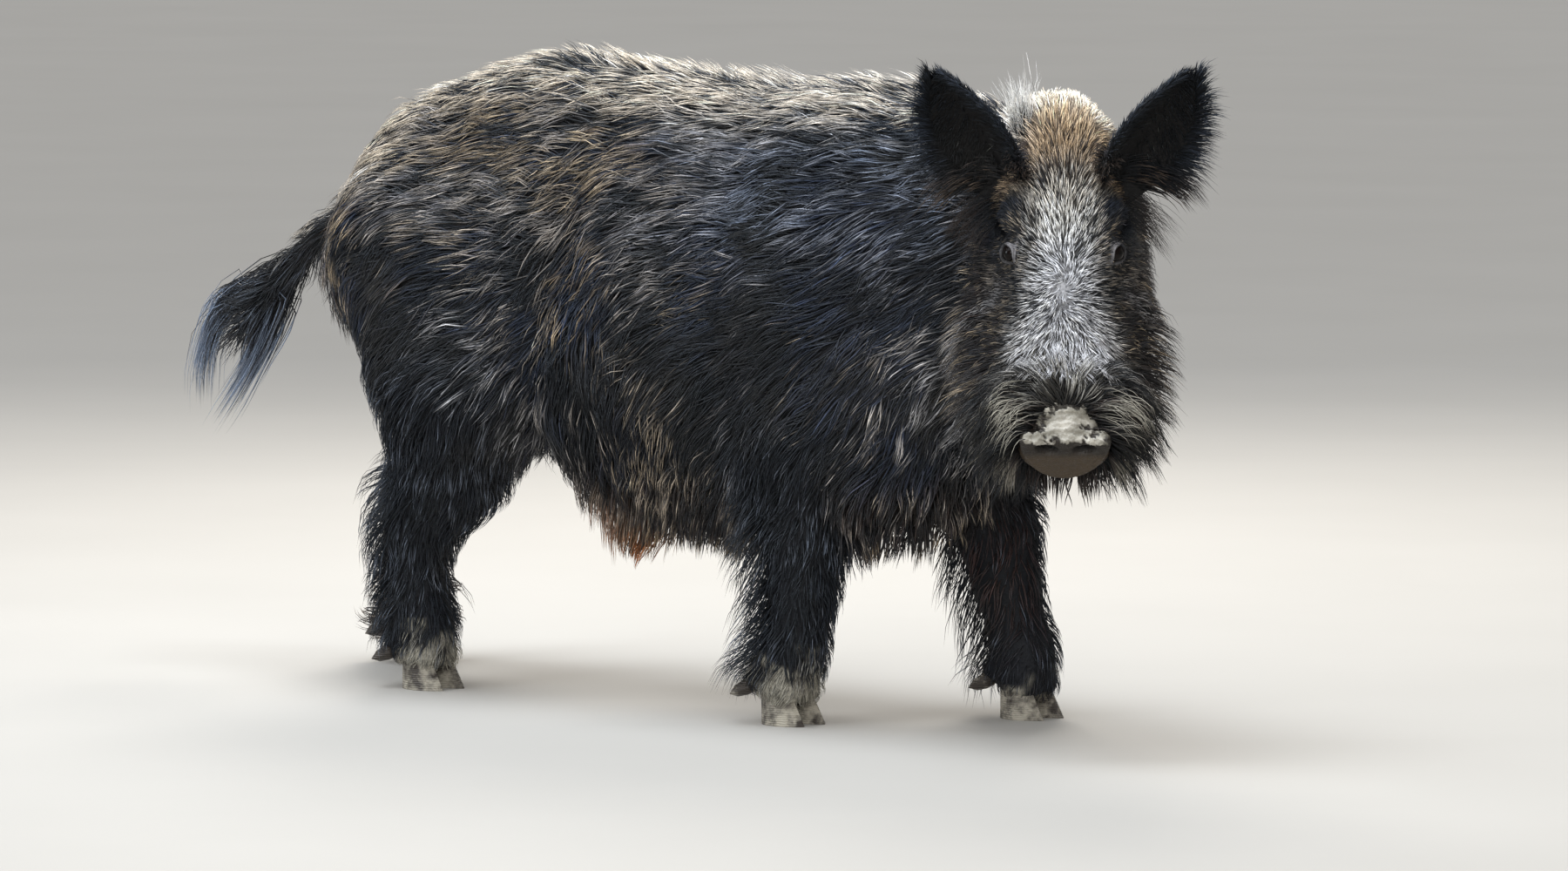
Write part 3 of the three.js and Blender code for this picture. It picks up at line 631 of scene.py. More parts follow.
class Body:
    """The skin's mesh and what the coat needs to know of it, made once."""

    made = None

    @classmethod
    def get(cls):
        if cls.made is None:
            cls.made = cls()
        return cls.made

    def __init__(self):
        grid = box_grid((-660, -240, 8), (815, 180, 756), SKIN_CELL)
        points, quads = surface_net(grid, sampled(grid))
        self.points, self.faces = self.refined(settled(points), quads)
        coarse = box_grid((-760, -280, -20), (880, 260, 800), GRID_CELL)
        mesh = np.stack(np.meshgrid(*coarse, indexing="ij"), axis=-1).reshape(-1, 3)
        self.low = np.array([g[0] for g in coarse])
        self.depth = body_field(mesh).reshape([len(g) for g in coarse])
        self.slope = np.stack(np.gradient(self.depth, GRID_CELL), axis=-1)
        self.places()

    def refined(self, points, quads):
        """Finer faces round the eyes and on the snout, then their shapes."""
        mesh = bmesh.new()
        verts = [mesh.verts.new(p) for p in points]
        for quad in quads:
            mesh.faces.new([verts[i] for i in quad])
        for eye_reach, snout in ((36, 322), (30, 330), (21, 1e3)):
            mesh.verts.index_update()
            at = np.array([v.co for v in mesh.verts])
            q = in_head(at)
            near = (q[:, 0] > snout) & (np.abs(q[:, 1]) < 90) & (np.abs(q[:, 2]) < 100)
            for side in (-1, 1):
                near |= np.linalg.norm(q - eye_frame(side)[0], axis=1) < eye_reach
            chosen = [e for e in mesh.edges if near[e.verts[0].index] and near[e.verts[1].index]]
            bmesh.ops.subdivide_edges(mesh, edges=chosen, cuts=1, use_grid_fill=True)
        mesh.verts.index_update()
        at = np.array([v.co for v in mesh.verts])
        q = in_head(at)
        near = (q[:, 0] > 20) & (np.abs(q[:, 1]) < 130) & (np.abs(q[:, 2]) < 190)
        fine = settled(at[near], 2)
        at[near] = from_head(with_lids(with_snout(with_mouth(in_head(fine)))))
        faces = [[v.index for v in f.verts] for f in mesh.faces]
        mesh.free()
        return at, faces

    def places(self):
        """Where tufts may root: the middle, area and normal of each triangle of the skin."""
        fans = [(f[0], f[i], f[i + 1]) for f in self.faces for i in range(1, len(f) - 1)]
        self.tris = np.array(fans)
        a, b, c = (self.points[self.tris[:, k]] for k in range(3))
        self.middle = (a + b + c) / 3
        self.area = np.linalg.norm(np.cross(b - a, c - a), axis=1) / 2
        parts = body_parts(self.middle)
        self.leg = np.stack([parts[key] for key in LEGS]).argmin(axis=0)
        self.shares = np.stack(shares_of(parts, self.middle))
        head, leg, tail = self.shares > 0.5
        self.region = np.full(len(self.area), "trunk", dtype=object)
        self.region[leg & (self.middle[:, 2] < 420)] = "leg"
        self.region[head] = "head"
        self.region[tail] = "tail"

    def at(self, p):
        """Height over the skin and the way out of it, read off the grid."""
        spot = (p - self.low) / GRID_CELL
        base = np.clip(np.floor(spot).astype(int), 0, np.array(self.depth.shape) - 2)
        t = np.clip(spot - base, 0, 1)
        depth, slope = 0, 0
        for corner in np.ndindex(2, 2, 2):
            w = np.prod(np.where(corner, t, 1 - t), axis=1)
            cell = tuple((base + corner).T)
            depth = depth + w * self.depth[cell]
            slope = slope + w[:, None] * self.slope[cell]
        return depth, unit(slope)

    def roots(self, density, rng):
        """Places spread over the skin by density, in tufts for each square centimetre."""
        weight = np.cumsum(self.area * density / 100)
        count = int(weight[-1])
        spot = (np.arange(count) + rng.uniform(0, 1, count)) * (weight[-1] / count)
        picks = np.clip(np.searchsorted(weight, spot), 0, len(weight) - 1)
        r1, r2 = np.sqrt(rng.uniform(size=count)), rng.uniform(size=count)
        a, b, c = (self.points[self.tris[picks, k]] for k in range(3))
        p = a * (1 - r1)[:, None] + b * (r1 * (1 - r2))[:, None] + c * (r1 * r2)[:, None]
        return p, picks


# ---------- markings: the same for skin and coat ----------

# sheen is a painted blue sheen of skylight; blue and steel are partly the coat's own blue-grey and partly
# that painted sheen
INK = {name: linear(code) for name, code in {
    "dark": "#0f0f11", "charcoal": "#232326", "blue": "#141925", "steel": "#5a6474", "sheen": "#6f7f98",
    "tan": "#b3a083", "cream": "#d8cbb8", "grey": "#a5a4a6", "brown": "#62503e",
    "umber": "#2c221b", "russet": "#a9693a", "pale": "#d4d2cc", "white": "#f0eee9",
    "leg": "#0d0f14", "mud": "#9c988c", "wet_mud": "#746f65", "hide": "#2a2523",
}.items()}


def face_pale(q):
    """How pale the face is: a grizzled stripe that widens into the moustache."""
    x, y = q[:, 0], np.abs(q[:, 1])
    knots = [20, 70, 110, 140, 200, 235, 265, 300, 350]
    half = np.interp(x, knots, [20, 50, 42, 33, 38, 52, 60, 54, 44])
    knots = [30, 70, 110, 145, 220, 250, 280, 305, 350]
    power = np.interp(x, knots, [0, .3, .62, .95, 1, 1, .95, .7, .5])
    over = smooth((q[:, 2] - 2) / 30)
    return power * smooth((half + 22 - y) / 52) * mixed(smooth((x - 230) / 40) * 0.3, 1.0, over)


def brush_at(p):
    """The pointed russet brush under the belly."""
    x, y, z = p.T
    return np.clip(1.3 * bell(x - 14, 27) * smooth((300 - z) / 40) * bell(y + 18, 52), 0, 1)


class Marks:
    """Root and tip colours of hairs, where along a hair the tip begins, and how many hairs have it."""

    def __init__(self, root, tip, share, start):
        self.root, self.tip, self.share, self.start = root, tip, share, start

    def lay(self, mask, least=None, times=None, **what):
        """Mixes values in by the mask, each a value or a value and its strength."""
        for name, value in what.items():
            value, power = value if isinstance(value, tuple) else (value, 1)
            setattr(self, name, mixed(getattr(self, name), value, np.clip(mask * power, 0, 1)))
        if least is not None:
            self.share = np.maximum(self.share, least * mask)
        if times is not None:
            self.share = self.share * (1 + (times - 1) * mask)

    def picked(self, i):
        return Marks(self.root[i], self.tip[i], self.share[i], self.start[i])


def markings(p, normal, head, leg, tail):
    """The marks of hairs rooted at p, by how much each belongs to the head, a leg or the tail."""
    x, y, z = p.T
    blot, fleck = ripple(p, 90, 3), ripple(p, 34, 4)
    tip = mixed(INK["tan"], INK["brown"], smooth(0.35 + 0.5 * fleck))
    # tips of tan and brown, with blotches of bright steel: grey-blue tips and a painted blue sheen of
    # skylight
    marks = Marks(
        mixed(INK["dark"], INK["blue"], smooth(0.5 + 0.6 * blot)),
        mixed(tip, INK["steel"] * 2.0, 0.42 * smooth(0.5 - 0.7 * blot)),
        0.24 + 0.60 * smooth((z - 440) / 170),
        np.full(len(p), 0.56),
    )
    marks.lay(smooth((x - 270) / 90) * smooth((700 - z) / 50), times=0.6)
    # painted blue sheen of skylight on the shoulder's tips, and the grey ruff before it
    marks.lay(smooth((x - 20) / 320) * smooth((z - 440) / 140), tip=(INK["sheen"], 0.75))
    marks.lay(bell(x - 525, 60) * bell(z - 385, 85), tip=INK["grey"], least=0.62)
    # cream tips along the spine and the rump's upper edge, where the coat faces up: pale bristle tips and a
    # painted highlight from the light above
    ridge = smooth((normal[:, 2] - 0.5) / 0.34) * smooth((z - 560) / 60)
    marks.lay(ridge, tip=(INK["cream"] * 1.1, 0.8), least=0.82, start=0.45)
    # the grey fold of the flank, tan behind the elbow, dark brown down the rump, the belly and its brush
    fold = bell(x + 90, 62) * bell(z - 375, 95) * (np.abs(y) > 40)
    marks.lay(fold, tip=(INK["grey"], 1.1), least=0.72)
    marks.lay(bell(x - 150, 80) * bell(z - 335, 70), tip=(INK["tan"], 0.6), least=0.5)
    rump = smooth((-345 - x) / 30) * smooth((600 - z) / 60)
    marks.lay(rump, root=(INK["umber"], 0.6), tip=INK["brown"], share=0.45)
    belly = smooth((330 - z) / 70) * (1 - leg)
    marks.lay(belly, root=(INK["umber"], 0.55), tip=(INK["tan"], 0.25), share=0.36)
    marks.lay(bell(x + 262, 78) * bell(z - 360, 85), tip=(INK["steel"], 0.6), times=0.5)
    marks.lay(brush_at(p) * (1 - leg), root=INK["brown"], tip=INK["russet"], share=1.0, start=0.25)
    # streams of lighter and darker locks that run with the coat
    low = np.maximum(leg, smooth((360 - z) / 120))[:, None]
    stream = ripple(p * mixed(np.array([0.3, 1, 1]), np.array([1, 1, 0.35]), low), 44, 5)
    marks.share = marks.share * np.clip(1 + 0.42 * stream, 0.2, 1.6)
    marks.root = marks.root * np.clip(1 + 0.4 * stream, 0.4, 1.8)[:, None]
    # blue-black legs and tail, cream along the tail's root
    marks.lay(leg, root=(INK["leg"], 0.9), tip=(INK["steel"], 0.9), share=(0.34, 0.9))
    marks.lay(tail, root=(INK["dark"], 0.8), tip=(INK["steel"], 0.9))
    top = tail * smooth((normal[:, 2] - 0.1) / 0.5) * smooth((z - 470) / 60)
    marks.lay(top, tip=(INK["cream"], 0.8))
    marks.lay(tail, share=mixed(0.3, 0.8, top))
    face = face_marks(in_head(p), head, fleck)
    marks.lay(head, root=face.root, tip=face.tip, share=face.share, start=face.start)
    marks.share, marks.start = np.clip(marks.share, 0, 1), np.clip(marks.start, 0.05, 0.9)
    return marks


def face_marks(q, head, fleck):
    """The head's own marks: pale stripe, brown crown, dark cheeks and sockets, muddy moustache."""
    x, side, z = q[:, 0], np.abs(q[:, 1]), q[:, 2]
    n, upper = len(q), smooth(q[:, 2] / 30)
    face = face_pale(q)
    crown = head * smooth((95 - x) / 60) * smooth((z - 30) / 40)
    cheek = head * smooth((60 - z) / 60) * (1 - face)
    fine = 0.5 + 0.5 * ripple(q, 9, 6)
    marks = Marks(
        mixed(np.repeat(INK["dark"][None], n, axis=0), INK["umber"], cheek * 0.5),
        mixed(INK["tan"] * 1.1, INK["charcoal"] * 1.4, smooth(fine + 0.25 * cheek)),
        np.full(n, 0.5),
        np.full(n, 0.5),
    )
    marks.lay(crown, root=(linear("#4b3b2c"), 0.8), tip=linear("#e2c6a2"), share=0.92)
    marks.lay(crown * smooth((8 - x) / 26), root=(linear("#8d7c6a"), 0.8), tip=INK["cream"] * 1.45)
    marks.lay(smooth((-28 - z) / 50), tip=(INK["grey"], 0.85), share=0.6)
    # the stripe: creamy on the forehead, cool below it, greyer and dusty towards the snout
    frost = mixed(INK["pale"], INK["white"], smooth(0.6 + 0.6 * fleck)) * 1.15
    marks.lay(face, root=INK["dark"], tip=(frost, 1.25))
    marks.lay(face * smooth((x - 225) / 45), root=(INK["wet_mud"], 0.35))
    marks.lay(face * smooth((x - 250) / 40), tip=(mixed(INK["grey"], INK["pale"], 0.5), 0.8))
    marks.lay(face * smooth((132 - x) / 40), tip=(INK["cream"] * 1.25, 0.8))
    marks.lay(face * smooth((x - 132) / 40), tip=marks.tip * [0.97, 1.0, 1.12])
    marks.lay(face, share=0.8)
    band = bell(x - 52, 17) * smooth((z - 40) / 30)
    marks.lay(band, root=INK["umber"], tip=(linear("#a1845f"), 0.75), times=0.7)
    marks.lay(np.maximum(face, crown), start=0.3)
    # the snout's bridge and the wet sides of the moustache
    palm = smooth((x - 296) / 26) * smooth((z + 30) / 30)
    marks.lay(palm, root=(linear("#2a2620"), 0.85), tip=(INK["mud"] * 0.9, 0.8), times=0.7)
    sides = smooth((x - 252) / 32) * smooth((side - 10 - 0.5 * np.maximum(290 - x, 0)) / 22)
    marks.lay(sides, root=(linear("#14110e"), 0.95), tip=(INK["wet_mud"] * 0.8, 0.8), times=0.5)
    # blue-black brow, painted shade in the socket under it, grizzle outside the eye and a grey patch below
    # it
    brow_arc = bell(x - 106 - 0.01 * (side - 66) ** 2, 6) * upper
    brow_arc = brow_arc * smooth((side - 36) / 12) * smooth((106 - side) / 16)
    marks.lay(brow_arc, root=INK["blue"], tip=INK["steel"] * 0.8, times=0.3)
    # painted shade: darker roots and fewer pale tips between the brow and the eye
    marks.lay(bell(x - 124, 11) * bell(side - 70, 17) * upper, root=INK["charcoal"], times=0.75)
    outer_eye = bell(x - 156, 17) * bell(side - 74, 13) * smooth((z + 10) / 30)
    marks.lay(outer_eye, tip=(mixed(INK["tan"], INK["grey"], 0.5) * 1.1, 0.8), least=0.72)
    marks.lay(bell(x - 180, 10) * bell(side - 70, 11), tip=INK["grey"] * 1.2, least=0.85)
    # dark chin and brown throat
    marks.lay(smooth((x - 280) / 40) * smooth((-40 - z) / 16), tip=(INK["umber"], 0.8))
    throat = smooth((-70 - z) / 30) * smooth((150 - x) / 60)
    marks.lay(throat, root=(INK["umber"], 0.7), tip=(INK["brown"], 0.8))
    return marks


def foot_mud(p):
    """Where drying mud covers the feet."""
    x, y, z = p.T
    near = y < 0
    high = np.where(x > 100, np.where(near, 66, 34), np.where(near, 58, 30))
    high = high + 22 * ripple(p, 46, 8) + 12 * smooth((x - np.where(x > 100, 312, -250)) / 24) * near
    return smooth((high - z) / 16) * (z < 130)


def snout_mud(q):
    """Where clay is caked on the snout: its bridge, widening to the upper rim, with a ragged edge."""
    wide = np.interp(q[:, 0], [336, 348, 358, 368], [22, 32, 43, 48])
    ragged = 5 * ripple(q, 15, 12) + 2.6 * ripple(q, 5, 13)
    top = smooth((q[:, 0] - 334 + ragged) / 4) * smooth((wide - np.abs(q[:, 1]) + ragged) / 4)
    return top * smooth((q[:, 2] - DISC["z"] - DISC["tall"] + 5 + ragged) / 3)


# ---------- the lie of the coat ----------


def trunk_lie(p):
    """The way the coat runs on the trunk, read between the rows of LIE."""
    rows = np.array(LIE)
    gap = (p[:, 0:1] - rows[:, 0]) ** 2 + (p[:, 2:3] - rows[:, 1]) ** 2
    w = np.exp(-gap / (2 * LIE_REACH**2)) + 1e-9
    w /= w.sum(axis=1, keepdims=True)
    way = np.stack([w @ rows[:, 2], np.zeros(len(p)), w @ rows[:, 3]], axis=1)
    rear = smooth((-330 - p[:, 0]) / 50)
    way = mixed(way, np.array([-0.1, 0, -1.0]), rear * smooth((610 - p[:, 2]) / 60))
    way[:, 1] += 0.22 * np.sign(p[:, 1]) * smooth((p[:, 2] - 640) / 60) * smooth(np.abs(p[:, 1]) / 40)
    return unit(way)


def head_lie(p, normal):
    """Hair fans out from a whorl below the eyes, and again from the snout's bridge."""
    q, n = in_head(p), normal @ HEAD_AXES.T
    side = np.sign(q[:, 1])
    x, y = q[:, 0] - WHORL, 1.5 * q[:, 1]
    wind = 1.6 * bell(np.hypot(x, y), 16)
    flat, full = np.zeros(len(q)), np.ones(len(q))
    whorl = unit(np.stack([x - wind * y, y + wind * x, flat], axis=1))
    palm = unit(np.stack([np.minimum(q[:, 0] - 352, -4), 1.9 * q[:, 1], flat], axis=1))
    top = unit(mixed(whorl, palm, smooth((q[:, 0] - 272) / 36)))
    flank = smooth((np.abs(n[:, 1]) - 0.45) / 0.35) * (1 - smooth((n[:, 2] - 0.75) / 0.2))
    cheek = np.stack([-0.50 * full, 0.15 * side, -0.85 * full], axis=1)
    hang = DOWN @ HEAD_AXES.T
    cheek = mixed(cheek, hang * 0.9 + np.array([-0.25, 0, 0]), smooth((q[:, 0] - 225) / 60) * 0.8)
    cheek[:, 1] += 0.5 * side * smooth((q[:, 0] - 225) / 60)
    way = mixed(top, cheek, flank)
    under = smooth((-n[:, 2] - 0.35) / 0.4)
    way = mixed(way, np.array([-0.6, 0, -0.8]), under)
    poll = smooth((45 - q[:, 0]) / 50) * (1 - flank)
    way = mixed(way, np.stack([-full, 0.006 * q[:, 1], flat], axis=1), poll)
    return unit(way) @ HEAD_AXES


def tail_lie(p):
    """The way the tail's hair runs: along the tail."""
    joints = np.array(TAIL)[:, :3]
    ways = unit(np.gradient(joints, axis=0))
    gap = np.linalg.norm(p[:, None] - joints, axis=2)
    w = np.exp(-((gap / 45) ** 2)) + 1e-9
    return unit(w @ ways / w.sum(axis=1, keepdims=True))


def lie(p, normal, head, leg, tail):
    """The way the coat runs at p, along the skin."""
    way = trunk_lie(p)
    way = mixed(way, np.array([-0.38, 0, -0.93]), leg * smooth((400 - p[:, 2]) / 90))
    way = mixed(way, tail_lie(p), tail)
    way = mixed(way, head_lie(p, normal), head)
    return unit(way - normal * dot(way, normal))


# ---------- tufts ----------


def grown(body, root, normal, way, long, rise, droop, segments, rng, wave=0.12, lift=0.25, spread=0.12,
          free=0.0, swirl=0.2):
    """The middle lines of tufts, stepped along the skin. rise is how high a tip stands over it."""
    n = len(root)
    side = unit(np.cross(normal, way))
    sway = rng.normal(0, 1, n) * spread + swirl * ripple(root, 42, 23)
    way = unit(way + side * sway[:, None] + normal * (lift * rng.uniform(0.5, 1.3, n))[:, None])
    p = root - normal * 1.2
    path = [p]
    step = long / segments
    loosen = np.broadcast_to(free, n)[:, None]
    phase = rng.uniform(0, 6.3, n) * 0.35 + ripple(root, 48, 17) * 3
    for i in range(segments):
        t = (i + 0.6) / segments
        height, out = body.at(p)
        want = rise * math.sin(min(t * 1.25, 1) * math.pi / 2)
        climb = np.clip((want - height) / np.maximum(step, 1), -0.5, 0.75)
        climb = np.where(climb < 0, climb * (1 - free), climb)
        rising = dot(way, out)
        flat = unit(way - out * rising * np.where(rising > 0, 1 - loosen, 1))
        loose = smooth((height - 2) / 10)
        flat = unit(flat + DOWN * (droop * (0.35 + 0.65 * loose))[:, None] * 0.8)
        flat = unit(flat - out * np.minimum(dot(flat, out), 0) * smooth((8 - height) / 8)[:, None])
        bend = np.cross(out, flat) * (wave * np.sin(phase + t * 5.2))[:, None]
        way = unit(flat + bend + out * climb[:, None])
        p = p + way * step[:, None]
        path.append(p)
    return np.stack(path, axis=1)


def clumped(path, root, every, hold, rng, start=0.15):
    """Draws tufts together into locks: each one leans to the nearest lock's own line."""
    n = len(root)
    guides = rng.permutation(n)[: max(1, n // every)]
    near = np.empty(n, int)
    g = root[guides]
    g2 = np.sum(g * g, axis=1)
    for first in range(0, n, GROUP):
        some = slice(first, first + GROUP)
        near[some] = np.argmin(g2 - 2 * root[some] @ g.T, axis=1)
    lock = guides[near]
    steps = path.shape[1]
    t = smooth((np.linspace(0, 1, steps) - start) / (1 - start)) ** 0.8
    pull = (np.reshape(hold, (-1, 1)) * t)[..., None] * rng.uniform(0.6, 1.1, n)[:, None, None]
    gap = np.linalg.norm(root - root[lock], axis=1)
    pull = np.clip(pull * np.exp(-((gap / 26.0) ** 2))[:, None, None], 0, 0.95)
    return path * (1 - pull) + path[lock] * pull, lock


def shaded(marks, lock, steps, rng, vary=0.5):
    """Colours down each tuft, dark at the root by its own colour and by painted shade, with lock by lock and
    hair by hair changes.
    """
    n = len(marks.root)
    lock_roll = rng.uniform(size=n)[lock]
    roll = 0.55 * lock_roll + 0.45 * rng.uniform(size=n)
    has = smooth((marks.share - roll) / 0.14 + 0.5)
    bright = np.exp(rng.normal(0, vary, n) + 0.6 * vary * (lock_roll - 0.5))
    begin = np.clip(marks.start + rng.normal(0, 0.09, n), 0.02, 0.9)
    t = np.linspace(0, 1, steps)[None]
    blend = smooth((t - begin[:, None]) / 0.25) * has[:, None]
    colour = marks.root[:, None] * bright[:, None, None] * (1 - blend[..., None])
    colour = colour + marks.tip[:, None] * (bright**0.5)[:, None, None] * blend[..., None]
    # painted shade: each tuft darker towards its root, under the coat over it
    shade = 0.4 + 0.6 * smooth(t / 0.5)
    return np.clip(colour * shade[..., None], 0.002, 0.95)


def swept(path, up, wide):
    """Points of the tapered, closed, three-sided tufts that follow each path, thickest at a third."""
    n, steps, _ = path.shape
    along = unit(np.gradient(path, axis=1))
    side = unit(np.cross(along, up[:, None]))
    t = np.linspace(0, 1, steps)
    size = (0.6 + 0.4 * np.clip(t / 0.3, 0, 1)) * (1 - t**1.7) ** 0.75
    half = (wide[:, None] * size[None] / 2)[..., None]
    rings = np.stack([path - side * half, path + side * half, path + np.cross(side, along) * half], axis=2)
    rings = rings[:, :-1]
    return np.concatenate([rings.reshape(n, -1, 3), path[:, -1:]], axis=1)


def tuft_faces(n, segments):
    """Corner numbers of the triangles of n tufts."""
    faces = [(0, 2, 1)]
    for i in range(segments - 1):
        for k in range(3):
            a, b = 3 * i + k, 3 * i + (k + 1) % 3
            faces += [(a, b, b + 3), (a, b + 3, a + 3)]
    last, tip = 3 * (segments - 1), 3 * segments
    faces += [(last + k, last + (k + 1) % 3, tip) for k in range(3)]
    faces = np.array(faces)
    return (faces[None] + (np.arange(n) * (tip + 1))[:, None, None]).reshape(-1, 3)


def new_piece(name, points, faces, colours, materials, uv=None):
    """A smooth piece from arrays, riding on the body; faces are corner numbers, of any count each."""
    mesh = bpy.data.meshes.new(name)
    sizes = np.array([len(f) for f in faces])
    loops = np.concatenate(faces)
    mesh.vertices.add(len(points))
    mesh.vertices.foreach_set("co", placed(points).astype(np.float32).ravel())
    mesh.loops.add(len(loops))
    mesh.loops.foreach_set("vertex_index", loops.astype(np.int32))
    mesh.polygons.add(len(sizes))
    starts = np.concatenate([[0], np.cumsum(sizes)[:-1]])
    mesh.polygons.foreach_set("loop_start", starts.astype(np.int32))
    mesh.polygons.foreach_set("use_smooth", np.full(len(sizes), True))
    layer = mesh.color_attributes.new(name="Coat", type="FLOAT_COLOR", domain="POINT")
    opaque = np.concatenate([colours, np.ones((len(colours), 1))], axis=1)
    layer.data.foreach_set("color", opaque.astype(np.float32).ravel())
    if uv is not None:
        chart = mesh.uv_layers.new(name="OFBake")
        chart.data.foreach_set("uv", uv[loops].astype(np.float32).ravel())
    mesh.update()
    mesh.validate(verbose=False)
    piece = bpy.data.objects.new(name, mesh)
    bpy.context.scene.collection.objects.link(piece)
    for one in materials:
        piece.data.materials.append(material_for(one))
    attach(piece, "root")
    return piece


def coat_piece(name, batches, material):
    """One piece of coat from batches of (path, up, wide, colours, place on the map)."""
    points, faces, colours, uvs, count = [], [], [], [], 0
    for path, up, wide, colour, place in batches:
        n, steps, _ = path.shape
        verts = swept(path, up, wide)
        faces.append(tuft_faces(n, steps - 1) + count)
        points.append(verts.reshape(-1, 3))
        ring = np.repeat(colour[:, :-1], 3, axis=1)
        colours.append(np.concatenate([ring, colour[:, -1:]], axis=1).reshape(-1, 3))
        t = np.linspace(0, 1, steps)
        local = np.array([(k * 0.5, v) for v in t[:-1] for k in range(3)] + [(0.5, 1.0)]) * PATCH
        uvs.append((np.clip(place, 0, 1 - PATCH)[:, None] + local[None]).reshape(-1, 2))
        count += n * verts.shape[1]
    points, faces, colours, uvs = (np.concatenate(rows) for rows in (points, faces, colours, uvs))
    if len(faces) > PIECE_LIMIT:
        raise RuntimeError(f"{name} has {len(faces)} triangles")
    new_piece(name, kept_in(points), faces, colours, [material], uvs)


# ---------- materials ----------


def add(tree, kind, links=None, **settings):
    """One node with its settings and links."""
    node = tree.nodes.new(kind)
    for key, value in settings.items():
        if key.startswith("in_"):
            node.inputs[key[3:].replace("_", " ")].default_value = value
        else:
            setattr(node, key, value)
    for socket, source in (links or {}).items():
        tree.links.new(source, node.inputs[socket])
    return node


def start_material(name, **finish):
    """A new material, its nodes, its one shader with this finish, and the place on the piece."""
    material = bpy.data.materials.new(name)
    material.use_nodes = True
    tree = material.node_tree
    tree.nodes.clear()
    shader = add(tree, "ShaderNodeBsdfPrincipled", **finish)
    add(tree, "ShaderNodeOutputMaterial", {"Surface": shader.outputs[0]})
    place = add(tree, "ShaderNodeTexCoord").outputs["Object"]
    return material, tree, shader, place


def blended(tree, kind, factor, a, b):
    """A Mix node for colours."""
    node = tree.nodes.new("ShaderNodeMix")
    node.data_type, node.blend_type = "RGBA", kind
    for socket, value in ((node.inputs[0], factor), (node.inputs[6], a), (node.inputs[7], b)):
        if isinstance(value, bpy.types.NodeSocket):
            tree.links.new(value, socket)
        else:
            socket.default_value = value if isinstance(value, (int, float)) else (*value, 1)
    return node.outputs[2]


def painted(tree, grain, low, high):
    """The piece's own colours, darker and lighter by the grain of a texture."""
    colour = add(tree, "ShaderNodeAttribute", attribute_name="Coat").outputs["Color"]
    tone = add(tree, "ShaderNodeMapRange", {"Value": grain}, in_From_Min=0.3, in_From_Max=0.7,
               in_To_Min=low, in_To_Max=high)
    return blended(tree, "MULTIPLY", 1.0, colour, tone.outputs[0])


def raised(tree, shader, strength, distance, height, more=None):
    """Relief in the shader from one texture, or from two added up; distance is in metres."""
    if more is not None:
        height = add(tree, "ShaderNodeMath", {0: height, 1: more}, operation="ADD").outputs[0]
    bump = add(tree, "ShaderNodeBump", {"Height": height}, in_Strength=strength, in_Distance=distance)
    tree.links.new(bump.outputs[0], shader.inputs["Normal"])


def hair_material(name, roughness, sheen):
    """Keratin guard hair: slightly glossy strands, each a little lighter or darker than the next."""
    material, tree, shader, place = start_material(
        name, in_Roughness=roughness, in_IOR=1.55, in_Specular_Tint=(0.78, 0.88, 1.0, 1),
        in_Specular_IOR_Level=0.36, in_Sheen_Weight=sheen, in_Sheen_Roughness=0.4,
    )
    strands = add(tree, "ShaderNodeTexNoise", {"Vector": place}, in_Scale=420.0, in_Detail=2.0)
    shade = painted(tree, strands.outputs[0], 0.72, 1.28)
    dust = add(tree, "ShaderNodeTexNoise", {"Vector": place}, in_Scale=9.0, in_Detail=3.0)
    cover = add(tree, "ShaderNodeMapRange", {"Value": dust.outputs[0]}, in_From_Min=0.5, in_From_Max=0.8,
                in_To_Min=0.0, in_To_Max=0.10)
    shade = blended(tree, "MIX", cover.outputs[0], shade, linear("#7d7568"))
    tree.links.new(shade, shader.inputs["Base Color"])
    raised(tree, shader, 0.35, 0.0006, strands.outputs[0])
    return material


def hide_material():
    """Living hide: dark, fine-creased and dull between the hairs."""
    material, tree, shader, place = start_material(
        "Hide, creased and dull", in_Roughness=0.62, in_Specular_IOR_Level=0.2
    )
    grain = add(tree, "ShaderNodeTexNoise", {"Vector": place}, in_Scale=260.0, in_Detail=6.0,
                in_Roughness=0.65)
    cells = add(tree, "ShaderNodeTexVoronoi", {"Vector": place}, in_Scale=330.0)
    tree.links.new(painted(tree, grain.outputs[0], 0.6, 1.35), shader.inputs["Base Color"])
    raised(tree, shader, 0.6, 0.0009, grain.outputs[0], cells.outputs[0])
    return material


def snout_material():
    """Wet snout leather under drying clay: pitted where bare, chalky and cracked where caked."""
    material, tree, shader, place = start_material("Snout leather with drying clay")
    pits = add(tree, "ShaderNodeTexVoronoi", {"Vector": place}, in_Scale=420.0)
    clay = add(tree, "ShaderNodeTexNoise", {"Vector": place}, in_Scale=150.0, in_Detail=8.0,
               in_Roughness=0.7)
    tree.links.new(painted(tree, clay.outputs[0], 0.78, 1.18), shader.inputs["Base Color"])
    wet = add(tree, "ShaderNodeMapRange", {"Value": clay.outputs[0]}, in_From_Min=0.35, in_From_Max=0.65,
              in_To_Min=0.38, in_To_Max=0.75)
    tree.links.new(wet.outputs[0], shader.inputs["Roughness"])
    raised(tree, shader, 0.55, 0.0010, pits.outputs[0], clay.outputs[0])
    return material


